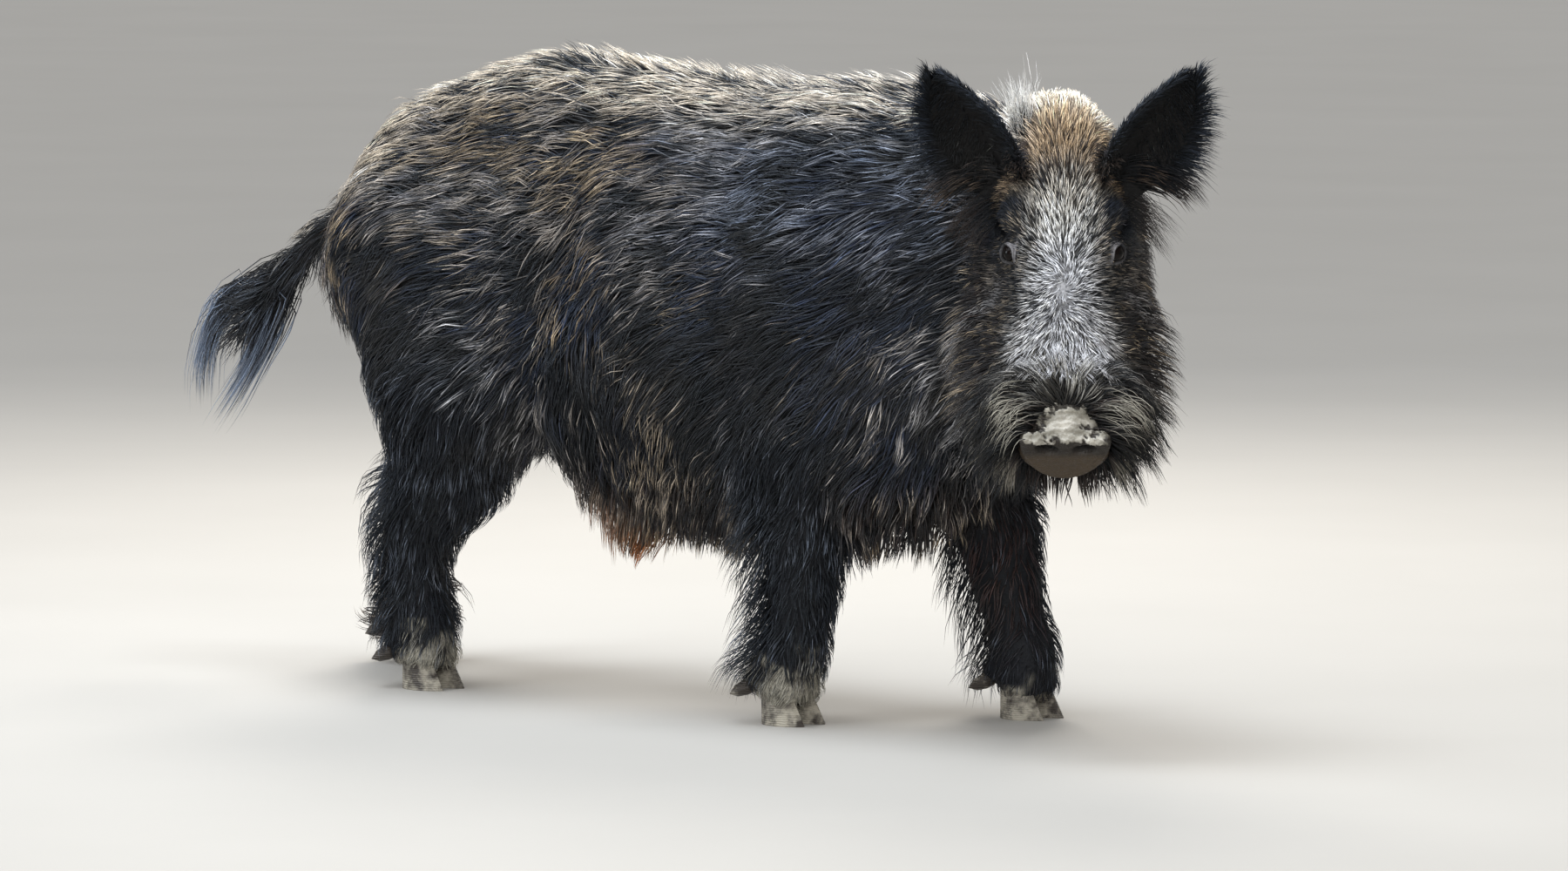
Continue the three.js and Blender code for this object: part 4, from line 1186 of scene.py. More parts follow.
def horn_material(name, bare_until):
    """Hoof horn: grown in rings and worn, with clay dried on it."""
    material, tree, shader, place = start_material(name)
    rings = add(tree, "ShaderNodeTexWave", {"Vector": place}, wave_type="BANDS", bands_direction="Z",
                in_Scale=130.0, in_Distortion=3.0, in_Detail=2.0)
    clay = add(tree, "ShaderNodeTexNoise", {"Vector": place}, in_Scale=38.0, in_Detail=7.0,
               in_Roughness=0.65)
    cover = add(tree, "ShaderNodeMapRange", {"Value": clay.outputs[0]}, in_From_Min=bare_until,
                in_From_Max=bare_until + 0.16)
    horn = blended(tree, "MIX", rings.outputs[1], linear("#2a2522"), linear("#3d362f"))
    crumbs = blended(tree, "MIX", clay.outputs[0], linear("#6f6a5f"), linear("#b3ad9f"))
    shade = blended(tree, "MIX", cover.outputs[0], horn, crumbs)
    tree.links.new(shade, shader.inputs["Base Color"])
    rough = add(tree, "ShaderNodeMapRange", {"Value": cover.outputs[0]}, in_To_Min=0.42, in_To_Max=0.88)
    tree.links.new(rough.outputs[0], shader.inputs["Roughness"])
    raised(tree, shader, 0.6, 0.0012, rings.outputs[1], clay.outputs[0])
    return material


def eye_material():
    """A wet eyeball: a nearly black iris under a clear, glossy cornea."""
    material, tree, shader, place = start_material(
        "Eyeball, wet", in_Roughness=0.14, in_IOR=1.38, in_Specular_IOR_Level=0.16,
        in_Coat_Weight=0.12, in_Coat_Roughness=0.04,
    )
    fibres = add(tree, "ShaderNodeTexNoise", {"Vector": place}, in_Scale=900.0, in_Detail=3.0)
    tree.links.new(painted(tree, fibres.outputs[0], 0.7, 1.3), shader.inputs["Base Color"])
    return material


def floor_material():
    """Matt painted board: pale, faintly mottled."""
    material, tree, shader, place = start_material("Studio floor, matt paint", in_Roughness=0.8)
    mottle = add(tree, "ShaderNodeTexNoise", {"Vector": place}, in_Scale=2.0, in_Detail=4.0)
    shade = blended(tree, "MIX", mottle.outputs[0], linear("#a19e99"), linear("#a8a5a0"))
    tree.links.new(shade, shader.inputs["Base Color"])
    return material


MATERIALS = {}


def material_for(name):
    """The named finish, made the first time it is asked for."""
    makers = {
        "coat": lambda: hair_material("Guard hair, dry", 0.36, 0.05),
        "leg": lambda: hair_material("Guard hair, damp", 0.33, 0.03),
        "face": lambda: hair_material("Short face hair, dusty", 0.6, 0.0),
        "ear": lambda: hair_material("Ear hair, soft and dull", 0.75, 0.0),
        "hide": hide_material, "snout": snout_material,
        "horn": lambda: horn_material("Hoof horn with dried clay", 0.40),
        "claw": lambda: horn_material("Dewclaw horn, dark", 0.56),
        "eye": eye_material, "floor": floor_material,
    }
    if name not in MATERIALS:
        MATERIALS[name] = makers[name]()
    return MATERIALS[name]


# ---------- settings ----------


class BoarCoatSettings(bpy.types.PropertyGroup):
    """How full the coat is, and how long in each region"""

    density: FloatProperty(name="Density", description="How many tufts grow, against the full coat",
                           default=1.0, min=0.05, max=1.0, subtype="FACTOR")
    back: FloatProperty(name="Back", description="Length of the bristles along the back",
                        default=0.074, min=0.02, max=0.12, unit="LENGTH")
    flank: FloatProperty(name="Flank", description="Length of the coat on the flanks",
                         default=0.076, min=0.02, max=0.1, unit="LENGTH")
    fringe: FloatProperty(name="Fringe", description="Length of hanging hair at the belly and rump",
                          default=0.078, min=0.02, max=0.12, unit="LENGTH")
    leg: FloatProperty(name="Legs", description="Length of the coat on the lower legs",
                       default=0.036, min=0.01, max=0.08, unit="LENGTH")
    face: FloatProperty(name="Face", description="Length of the short hair between the eyes",
                        default=0.012, min=0.005, max=0.03, unit="LENGTH")
    moustache: FloatProperty(name="Moustache", description="Length of the hair beside the snout",
                             default=0.064, min=0.02, max=0.09, unit="LENGTH")
    tail: FloatProperty(name="Tail", description="Length of the tail's hair",
                        default=0.092, min=0.03, max=0.14, unit="LENGTH")


class BoarStageSettings(bpy.types.PropertyGroup):
    """Light and surround of the stage"""

    light: FloatProperty(name="Light", description="Strength of the soft studio light",
                         default=1.0, min=0.1, max=4.0, subtype="FACTOR")
    sky: FloatVectorProperty(name="Surround", description="Colour of the plain surround",
                             default=tuple(linear("#d9d8d6")), size=3, subtype="COLOR", min=0, max=1)


# ---------- operators ----------


class BoarStep:
    """What every step shares: it builds its pieces in one go"""

    bl_options = {"REGISTER", "UNDO"}

    def execute(self, context):
        self.build(context)
        return {"FINISHED"}


def hide_colours(body):
    """The skin's own colours, from the same markings as the coat."""
    p = body.points
    normal = unit(slope_of(body_field, p)[1])
    shares = shares_of(body_parts(p), p)
    head = shares[0]
    marks = markings(p, normal, *shares)
    q = in_head(p)
    whorl = bell(np.hypot(q[:, 0] - WHORL, 1.5 * q[:, 1]), 15) * head
    colour = mixed(marks.root * 0.8, marks.tip, marks.share * 0.09 + 0.35 * whorl)
    # grey lids round the dark sockets, paler on their upper side
    lids = np.zeros(len(p))
    for side in (-1, 1):
        r, _, m, b = eye_angles(q, side)
        upper = mixed(0.4, 1.0, smooth((4 - b) / 22))
        ring = smooth((2.9 - m) / 0.7) * (r < 30) * smooth((m - 1.1) / 0.15)
        lids = np.maximum(lids, ring * upper)
        # near black just inside the lids: dark lid rims and painted shade in the hollow round the eyeball
        colour[(m < 1.35) & (r < 17)] = linear("#0c0a0a")
    colour = mixed(colour, linear("#858488"), lids * 0.8)
    # the snout's leather, a painted shadow across its upper part under the rim, the clay on it and the
    # nostrils
    disc = smooth((q[:, 0] - 340) / 12) * head
    colour = mixed(colour, linear("#3d3122"), disc)
    # painted shadow: the upper part of the disc darkened, as under the muddy rim
    band = smooth((q[:, 2] - DISC["z"] - 2) / 14)
    colour = mixed(colour, linear("#130d08"), disc * band * 0.85)
    clay = mixed(linear("#6f6b60"), linear("#aca89e"), smooth(0.5 + ripple(q, 20, 14) * 0.4))
    colour = mixed(colour, clay, snout_mud(q) * head)
    # painted shade: the nostrils darken to near black with their depth
    hole = nostril_depth(q) * smooth((q[:, 0] - DISC["x"] + 14) / 6)
    colour = mixed(colour, linear("#0d0b0a"), np.clip(hole * 1.6, 0, 1) * head)
    return mixed(colour, INK["mud"], foot_mud(p) * 0.9)


class BOAR_OT_skin(BoarStep, bpy.types.Operator):
    """Build the one skin that covers the whole body, with its ears, eyelids and snout"""

    bl_idname = "boar.skin"
    bl_label = "Skin"

    def build(self, context):
        body = Body.get()
        points, faces = [body.points], list(body.faces)
        colours = [hide_colours(body)]
        count = len(body.points)
        for side in (-1, 1):
            ear, quads = ear_mesh(side)
            faces += list(quads + count)
            count += len(ear)
            points.append(ear)
            leather = np.repeat(mixed(INK["hide"], INK["dark"], 0.8)[None] * 0.35, len(ear), axis=0)
            base, up, _, _ = ear_frame(side)
            # painted shade: the leaf's lower part darkened where it meets the head
            leather[(in_head(ear) - base) @ unit(up) < 22] *= 0.25
            colours.append(leather)
        points = np.concatenate(points)
        piece = new_piece("skin", points, faces, np.concatenate(colours), ["hide", "snout"])
        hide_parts(*FLESH)
        q = in_head(points)
        disc = (q[:, 0] > 344) & (np.abs(q[:, 1]) < 70) & (np.abs(q[:, 2]) < 90)
        index = np.array([disc[f[0]] for f in faces])
        piece.data.polygons.foreach_set("material_index", index.astype(np.int32))


def eyeball(side, rings=38, around=48):
    """Points, faces and colours of one eyeball, in the head's frame, with the cornea's bulge."""
    centre, ahead, along, across = eye_frame(side)
    away, turn = (g.ravel() for g in np.meshgrid(
        np.linspace(0, math.pi, rings + 2)[1:-1],
        np.linspace(0, 2 * math.pi, around, endpoint=False), indexing="ij",
    ))
    away, turn = np.append(away, [0, math.pi]), np.append(turn, [0, 0])
    long, tall = np.sin(away) * np.cos(turn), np.sin(away) * np.sin(turn)
    r = EYE["r"] + 0.7 * smooth(1 - away / 0.75)
    q = centre + r[:, None] * (
        np.cos(away)[:, None] * ahead + long[:, None] * along + tall[:, None] * across
    )
    iris = smooth((0.66 - away) / 0.05)
    pupil = smooth((1 - np.hypot(long / 0.30, tall / 0.2)) / 0.15 + 0.5)
    colour = mixed(linear("#070505"), linear("#0c0504"), iris)
    colour = mixed(colour, linear("#0c0706"), bell(away - 0.64, 0.05) * 0.9)
    colour = mixed(colour, linear("#050404"), pupil * (away < 0.6))
    i, j = (g.ravel() for g in np.meshgrid(np.arange(rings - 1), np.arange(around), indexing="ij"))
    here, beyond, after = i * around, (i + 1) * around, (j + 1) % around
    faces = list(np.stack([here + j, beyond + j, beyond + after, here + after], axis=1))
    front, last = rings * around, (rings - 1) * around
    turns = [(u, (u + 1) % around) for u in range(around)]
    faces += [np.array([front, u, v]) for u, v in turns]
    faces += [np.array([front + 1, last + v, last + u]) for u, v in turns]
    return q, [f[::side] for f in faces], colour


class BOAR_OT_eyes(BoarStep, bpy.types.Operator):
    """Build both eyeballs, with iris, slot of pupil and the bulge of the cornea"""

    bl_idname = "boar.eyes"
    bl_label = "Eyes"

    def build(self, context):
        for side, name in SIDES:
            q, faces, colour = eyeball(side)
            piece = new_piece(f"eyeball_{name}", from_head(q), faces, colour, ["eye"])
            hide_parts(f"eye_{name}")


class BOAR_OT_hooves(BoarStep, bpy.types.Operator):
    """Finish the hooves and dewclaws in worn, muddy horn"""

    bl_idname = "boar.hooves"
    bl_label = "Hooves"

    def build(self, context):
        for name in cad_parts:
            if name.startswith(("hoof", "dewclaw")):
                horn = bpy.data.objects[name].data
                horn.materials.clear()
                horn.materials.append(material_for("horn" if name.startswith("hoof") else "claw"))


def bare(p):
    """Where no tuft grows: the eyes' openings, the snout's end and its muddy bridge."""
    q = in_head(p)
    x, side, z = q[:, 0], np.abs(q[:, 1]), q[:, 2]
    out = (x > 356) & (side < 80) & (np.abs(z) < 90)
    out |= (x > 336) & (side < 20 + (x - 336) * 1.1) & (z > 0) & (z < 90)
    for side in (-1, 1):
        r, _, m, b = eye_angles(q, side)
        out |= (r < 24) & (m < np.where(b < 0, 2.0, 1.5))
    return out | (p[:, 2] < 30)


def planted(body, density, rng, leave=None):
    """Tufts by density: roots, their triangles, the way out, the shares, and the coat's lie there.

    leave is a test for the places that stay without tufts.
    """
    p, picks = body.roots(density, rng)
    if leave:
        keep = ~leave(p)
        p, picks = p[keep], picks[keep]
    _, normal = body.at(p)
    shares = body.shares[:, picks]
    return p, picks, normal, shares, lie(p, normal, *shares)


def head_place(q):
    """Where hairs of the head lie on the map."""
    turn = np.arctan2(q[:, 1], q[:, 2] + 10) / (2 * math.pi) + 0.5
    return np.stack([turn, (q[:, 0] + 90) / 480], axis=1)


class BOAR_OT_coat_trunk(BoarStep, bpy.types.Operator):
    """Grow the coat of the trunk and neck in overlapping locks that follow its lie"""

    bl_idname = "boar.coat_trunk"
    bl_label = "Coat of the trunk"

    def build(self, context):
        body, coat = Body.get(), context.scene.boar_coat
        rng = np.random.default_rng(101)
        mid = body.middle
        density = np.where(mid[:, 1] < 0, 4.0, 1.8) * (body.region == "trunk")
        under = smooth((270 - mid[:, 2]) / 40)
        density = density * (1 - 0.35 * under) * coat.density
        inner = (np.abs(mid[:, 1]) < 60) & (mid[:, 2] < 420) & (mid[:, 0] < -150)
        density = np.where(inner, density * 0.5, density)
        p, _, normal, shares, way = planted(body, density, rng)
        x, y, z = p.T
        top = smooth((normal[:, 2] - 0.35) / 0.5) * smooth((z - 560) / 60)
        low = smooth((330 - z) / 70)
        rear = smooth((-335 - x) / 40) * smooth((600 - z) / 60)
        fold = bell(x + 90, 62) * bell(z - 350, 80)
        long = mixed(coat.flank, coat.back, top)
        long = mixed(long, coat.fringe, np.maximum(np.maximum(low, rear), fold * 0.8)) / MM
        long = long * (1 - 0.12 * smooth((x - 380) / 120)) * rng.uniform(0.72, 1.22, len(p))
        brush = brush_at(p)
        long = long * (1 - 0.3 * low * (1 - brush) + 0.45 * brush)
        whirl = bell(x - 15, 46) * bell(z - 545, 75)
        rise = mixed(14.0, 17.0, top) + 16 * rear + 13 * low * smooth((-normal[:, 2]) / 0.6)
        rise = rise + 56 * brush + 7 * whirl
        stray = rng.uniform(size=len(p)) < 0.04
        rise = rise * rng.uniform(0.35, 1.15, len(p)) * np.where(stray, 1.7, 1)
        droop = 0.10 + 0.6 * low + 0.55 * rear + 0.2 * fold + brush * 0.7
        free = np.clip(np.maximum(low, rear) * 0.8 + brush, 0, 1)
        path = grown(body, p, normal, way, long, rise, droop, 4, rng, wave=0.2 + 0.3 * whirl, lift=0.24,
                     free=free)
        # the brush draws together into one point under the belly
        drawn = smooth(np.linspace(0, 1, path.shape[1]) * 1.1 - 0.1)[None, :, None]
        drawn = drawn * (0.72 * brush)[:, None, None]
        point = BRUSH_POINT + rng.normal(size=(len(p), 1, 3)) * [7, 7, 12]
        path, lock = clumped(mixed(path, point, drawn), p, 9, 0.78, rng)
        colour = shaded(markings(p, normal, *shares), lock, path.shape[1], rng, 0.7)
        wide = rng.uniform(1.2, 2.9, len(p)) * np.where(stray, 0.5, 1)
        turn = np.arctan2(np.abs(y), z - 455) / math.pi
        place = np.stack([(x + 420) / 1080, turn], axis=1)
        groups = {
            "coat_back_right": (y < 0) & (z >= 520) & (x < 220),
            "coat_flank_right": (y < 0) & (z < 520) & (x < 160),
            "coat_shoulder_right": (y < 0) & (((z >= 520) & (x >= 220)) | ((z < 520) & (x >= 160))),
            "coat_side_left": y >= 0,
        }
        for name, chosen in groups.items():
            self.emit(name, chosen, path, normal, wide, colour, place)

    def emit(self, name, chosen, *tufts):
        """One part of the coat, cut from rear to front into as many pieces as it needs."""
        index = np.flatnonzero(chosen)
        order = index[np.argsort(tufts[0][index, 0, 0])]
        parts = math.ceil(len(order) / (PIECE_LIMIT // TUFT_TRIANGLES))
        for i, some in enumerate(np.array_split(order, parts)):
            label = name if parts == 1 else f"{name}_{i + 1}"
            coat_piece(label, [[rows[some] for rows in tufts]], "coat")


class BOAR_OT_coat_legs(BoarStep, bpy.types.Operator):
    """Grow the legs' coat, with long feathering behind the forelegs"""

    bl_idname = "boar.coat_legs"
    bl_label = "Coat of the legs"

    def build(self, context):
        body, coat = Body.get(), context.scene.boar_coat
        rng = np.random.default_rng(202)
        mid = body.middle
        keys = list(LEGS)
        side = np.array([key[1] for key in keys])[body.leg]
        axis_y = np.interp(mid[:, 2], [50, 200, 320, 470], [110, 107, 96, 80]) * side
        outer = (mid[:, 1] - axis_y) * side
        density = np.where(body.region == "leg", 3.3, 0) * np.where(side < 0, 1.0, 0.7)
        density = density * mixed(0.6, 1.0, smooth((outer + 22) / 30)) * coat.density
        density = density * mixed(1.5, 1.0, smooth((mid[:, 2] - 60) / 100))
        p, picks, normal, shares, way = planted(body, density, rng, bare)
        x, y, z = p.T
        front = x > 100
        behind = smooth((-normal[:, 0] - 0.15) / 0.5)
        long = coat.leg / MM * mixed(0.62, 1.0, smooth((z - 40) / 60))
        long = mixed(long, coat.flank / MM, smooth((z - 240) / 130))
        feather = behind * smooth((z - 58) / 40) * smooth((np.where(front, 410, 330) - z) / 60)
        feather = feather * np.where(front, 1.0, 0.6)
        long = mixed(long, 94.0, feather * 0.88) * rng.uniform(0.65, 1.25, len(p))
        rise = mixed(10.5, 20.0, smooth((z - 190) / 150)) + 26 * feather
        rise = mixed(7.0, rise, smooth((z - 45) / 50)) * rng.uniform(0.55, 1.12, len(p))
        long = np.minimum(long, (z - 4) * 1.15)
        droop = 0.25 + 0.7 * feather
        path = grown(body, p, normal, way, long, rise, droop, 4, rng, wave=0.16, lift=0.2, spread=0.12,
                     free=feather * 0.9)
        loose = (body.at(path[:, -1])[0] > 26 + 60 * feather) & (z < 240)
        path[loose] = p[loose, None] + (path[loose] - p[loose, None]) * 0.3
        path, lock = clumped(path, p, 10, 0.62, rng)
        path[..., 2] = np.maximum(path[..., 2], 2.0)
        marks = markings(p, normal, *shares)
        marks.lay(foot_mud(p), root=INK["wet_mud"], tip=INK["mud"], share=1.0, start=0.2)
        # thin red-brown hair inside the far foreleg
        patch = bell(z - 190, 55) * (y > 0) * front
        patch = patch * smooth((normal[:, 0] + 0.3) / 0.6) * smooth((-normal[:, 1] + 0.2) / 0.5)
        marks.lay(patch, root=(linear("#3f2620"), 0.8))
        colour = shaded(marks, lock, path.shape[1], rng, 0.3)
        wide = rng.uniform(1.1, 2.3, len(p)) * mixed(0.7, 1.0, smooth((z - 50) / 100))
        which = body.leg[picks]
        centre = np.array([[np.mean([j[0] for j in LEGS[k]]), k[1] * 105] for k in keys])[which]
        round_it = np.arctan2(y - centre[:, 1], x - centre[:, 0]) / (2 * math.pi) + 0.5
        place = np.stack([(which % 2 + round_it) / 2, (which // 2 + z / 480) / 2], axis=1)
        for i, (end, sign) in enumerate(keys):
            batch = [rows[which == i] for rows in (path, normal, wide, colour, place)]
            coat_piece(f"coat_leg_{end}_{dict(SIDES)[sign]}", [batch], "leg")


class BOAR_OT_coat_head(BoarStep, bpy.types.Operator):
    """Grow the face, crown, cheeks, jowls and moustache"""

    bl_idname = "boar.coat_head"
    bl_label = "Coat of the head"

    def build(self, context):
        body, coat = Body.get(), context.scene.boar_coat
        rng = np.random.default_rng(303)
        q = in_head(body.middle)
        hidden = smooth((-40 - q[:, 2]) / 40) * smooth((40 - q[:, 0]) / 60)
        density = (body.region == "head") * (1 - 0.7 * hidden) * coat.density
        front = smooth((q[:, 2] + 20) / 40) * smooth((q[:, 0] - 20) / 40)
        density = density * mixed(6.4, 19.0, front)
        away = smooth((q[:, 1] - 50) / 40) * smooth((30 - q[:, 2]) / 40)
        density = density * (1 - 0.3 * away)
        density = density * (1 + 0.2 * smooth((q[:, 0] - 230) / 40))
        p, _, normal, shares, way = planted(body, density, rng, bare)
        q, n = in_head(p), normal @ HEAD_AXES.T
        x, side, z = q[:, 0], np.abs(q[:, 1]), q[:, 2]
        # how long the hair is, from the short nose to the cheeks, the chin and the moustache
        flank = smooth((np.abs(n[:, 1]) - 0.4) / 0.35)
        knots = [-60, 0, 40, 90, 135, 200, 250, 290, 330, 360]
        long = np.interp(x, knots, [34, 27, 23, 18, 15, 16, 23, 31, 40, 36]) * (coat.face / MM) / 12
        cheek = np.interp(z, [-120, -70, -30, 20, 60], [52, 44, 30, 19, 14])
        cheek = cheek * np.interp(x, [0, 60, 200, 320], [1.25, 1, 1, 1.05])
        long = mixed(long, cheek, flank)
        long = mixed(long, 58.0, smooth((-n[:, 2] - 0.2) / 0.4))
        low_cheek = flank * smooth((12 - z) / 50) * smooth((x - 120) / 60)
        long = mixed(long, 60.0, low_cheek)
        drape = smooth((x - 262) / 40) * smooth((side - 18) / 22)
        long = mixed(long, coat.moustache / MM, drape)
        eye_gap = np.minimum(*(np.linalg.norm(q - eye_frame(s)[0], axis=1) for s in (-1, 1)))
        long = mixed(long, 8.0, smooth((31 - eye_gap) / 12) * 0.9) * rng.uniform(0.7, 1.3, len(p))
        rise = np.interp(long, [6, 12, 20, 30, 45, 60], [2.2, 4.0, 8, 13, 17, 22])
        rise = rise + 14 * drape + 14 * low_cheek
        rise = rise * rng.uniform(0.5, 1.4, len(p))
        below = smooth((-30 - z) / 50)
        droop = 0.05 + 0.5 * low_cheek + 0.55 * drape + 0.35 * below + 0.12 * flank
        # a white crest on the right of the poll
        crest = bell(x + 2, 26) * bell(q[:, 1] + 47, 13) * smooth((n[:, 2] - 0.1) / 0.3)
        long, rise = long * (1 + 0.5 * crest), rise * (1 + 1.8 * crest)
        marks = markings(p, normal, *shares)
        marks.lay(crest, tip=INK["white"])
        place = head_place(q)
        free = np.clip(drape + crest + low_cheek + 0.8 * below, 0, 1)
        spread = 0.22 + 0.8 * bell(np.hypot(x - WHORL, q[:, 1]), 15)
        fine = long < 26
        for part, chosen, steps, every, hold, widest, wave in (
            ("face", fine, 2, 4, 0.4, 1.8, 0.18),
            ("jowl", ~fine, 4, 7, 0.64 + 0.28 * drape[~fine], 1.9, 0.2),
        ):
            i = np.flatnonzero(chosen)
            path = grown(body, p[i], normal[i], way[i], long[i], rise[i], droop[i], steps, rng, wave=wave,
                         lift=0.3, spread=spread[i], free=free[i], swirl=0.12)
            path, lock = clumped(path, p[i], every, hold, rng)
            colour = shaded(marks.picked(i), lock, steps + 1, rng, 0.55)
            batch = (path, normal[i], rng.uniform(0.9, widest, len(i)), colour, place[i])
            for name, mine in (("right", q[i, 1] < 0), ("left", q[i, 1] >= 0)):
                coat_piece(f"coat_{part}_{name}", [[rows[mine] for rows in batch]], "face")


class BOAR_OT_coat_wisps(BoarStep, bpy.types.Operator):
    """Grow the head's loose hairs: crest, brows, wiry moustache, wet spikes, tassels below the ears"""

    bl_idname = "boar.coat_wisps"
    bl_label = "Loose hairs of the head"

    def build(self, context):
        body, coat = Body.get(), context.scene.boar_coat
        rng = np.random.default_rng(606)
        batches = []
        for centre, reach, sides, count, out, long, wide, droop, every, root, tip in WISPS:
            for side in sides:
                n = int(count * coat.density)
                q = np.array(centre) * [1, side, 1] + rng.normal(size=(n, 3)) * [*reach, 0]
                p = settled(from_head(q), 4)
                _, normal = body.at(p)
                way = unit((np.array(out) * [1, side, 1] + rng.normal(0, 0.2, (n, 3))) @ HEAD_AXES)
                steps, length = 5, rng.uniform(*long, n)
                path = [p - normal]
                for i in range(steps):
                    way = unit(way + DOWN * droop * (i + 0.4) / steps + rng.normal(0, 0.05, (n, 3)))
                    path.append(path[-1] + way * (length / steps)[:, None])
                path, lock = clumped(np.stack(path, axis=1), p, every, 0.7, rng)
                ink = [np.repeat(INK[one][None], n, axis=0) for one in (root, tip)]
                marks = Marks(*ink, np.full(n, 0.8), np.full(n, 0.3))
                colour = shaded(marks, lock, steps + 1, rng, 0.4)
                batches.append((path, normal, rng.uniform(*wide, n), colour, head_place(q)))
        coat_piece("coat_wisps", batches, "face")


def ear_roots(kind, count, rng):
    """Where hairs of one kind root on the ear's leaf, and on which face of it."""
    u = rng.uniform(0.0, 0.95, count)
    v = rng.uniform(-0.98, 0.98, count)
    face = np.full(count, -1.0 if kind == "back" else 1.0)
    if kind == "inner":
        v = np.sign(v) * np.abs(v) ** 0.5
    if kind == "edge":
        v = np.where(rng.uniform(size=count) < 0.70, 1, -1) * rng.uniform(0.84, 1.0, count)
        u = rng.uniform(0.05, 0.96, count)
        face = np.where(rng.uniform(size=count) < 0.55, 1.0, -1.0)
    if kind == "root":
        u = rng.uniform(-0.02, 0.16, count)
        face = np.where(rng.uniform(size=count) < 0.5, 1.0, -1.0)
    return u, v, face


def ear_way(kind, u, v, up, outward, normal):
    """The way hairs of one kind point: up the leaf, outward over its edge and off its face."""
    if kind == "back":
        return up + 0.55 * outward * np.abs(v)[:, None] + normal * 0.22
    if kind == "inner":
        return up * 0.6 - 0.5 * outward + normal * 0.35
    if kind == "edge":
        lean = (np.where(v > 0, 1.1, 0.6) * (1 - 0.65 * smooth((u - 0.55) / 0.35)))[:, None]
        return up * (1.1 - 0.9 * smooth((0.6 - u) / 0.5))[:, None] + outward * lean + normal * 0.12
    return up * 0.5 + outward * 0.8 + normal * 0.5


def ear_marks(kind, u, v):
    """Blue-black fur, browner at the ear's root, with an olive sheen inside."""
    n = len(u)
    marks = Marks(
        np.repeat(INK["dark"][None], n, axis=0),
        np.repeat(mixed(INK["blue"], INK["steel"], 0.3)[None], n, axis=0),
        np.full(n, 0.5), np.full(n, 0.45),
    )
    if kind == "inner":
        marks.root, marks.share = marks.root * 0.3, marks.share * 0.3
        marks.lay(bell(u - 0.3, 0.16) * bell(v - 0.2, 0.5), tip=(linear("#6b6a5c"), 0.8))
    elif kind == "back":
        marks.lay(smooth((0.3 - u) / 0.3), tip=(INK["brown"], 0.6))
    else:
        marks.lay(smooth((0.3 - u) / 0.25), tip=(INK["brown"], 0.8))
    return marks


class BOAR_OT_coat_ears(BoarStep, bpy.types.Operator):
    """Grow the short fur, the fringe and the inner hairs of both ears"""

    bl_idname = "boar.coat_ears"
    bl_label = "Coat of the ears"

    def build(self, context):
        for side, name in SIDES:
            rng = np.random.default_rng(404 + side)
            batches = [self.fur(side, rng, context.scene.boar_coat.density, *kind) for kind in EAR_FUR]
            coat_piece(f"coat_ear_{name}", batches, "ear")

    def fur(self, side, rng, density, kind, count, steps, long, wide, every, hold, droop):
        """One kind of an ear's hair, rooted on its leaf."""
        count = int(count * density)
        u, v, face = ear_roots(kind, count, rng)
        lift = face * EAR["wall"] / 2
        p = ear_point(u, v, side, lift)
        up = unit(ear_point(u + 0.01, v, side, lift) - p)
        edge = ear_point(u, np.clip(v + 0.02, -1.02, 1.02), side, lift)
        across = unit(edge - ear_point(u, v - 0.02, side, lift))
        normal = unit(np.cross(up, across))
        out = ear_frame(side)[2] @ HEAD_AXES
        normal = normal * np.sign(normal @ out)[:, None] * face[:, None]
        way = ear_way(kind, u, v, up, across * np.sign(v)[:, None], normal)
        length = rng.uniform(*long, count)
        if kind == "edge":
            # long behind, above all low down, and shorter in front and at the tip
            short = long[0] * 0.7
            length = short + (long[1] * 1.15 - short) * rng.uniform(size=count) ** 1.6
            length = length * np.where(v > 0, 1.0 + 0.5 * smooth((0.45 - u) / 0.4), 0.55)
            length = length * (1 - 0.15 * smooth((u - 0.8) / 0.15))
        way = unit(way + rng.normal(0, 0.16, (count, 3)))
        path = [p - normal * 0.6]
        for i in range(steps):
            way = unit(way + DOWN * droop * (i / steps) * (length / 30)[:, None])
            path.append(path[-1] + way * (length / steps)[:, None])
        path, lock = clumped(np.stack(path, axis=1), p, every, hold, rng)
        colour = shaded(ear_marks(kind, u, v), lock, steps + 1, rng, 0.3)
        inside = 0.5 if kind in ("inner", "root") else 0.0
        place = np.stack([(np.clip(v, -1, 1) + 1) / 4 + inside, np.clip(u + 0.03, 0, 1)], axis=1)
        return path, normal, rng.uniform(*wide, count), colour, place


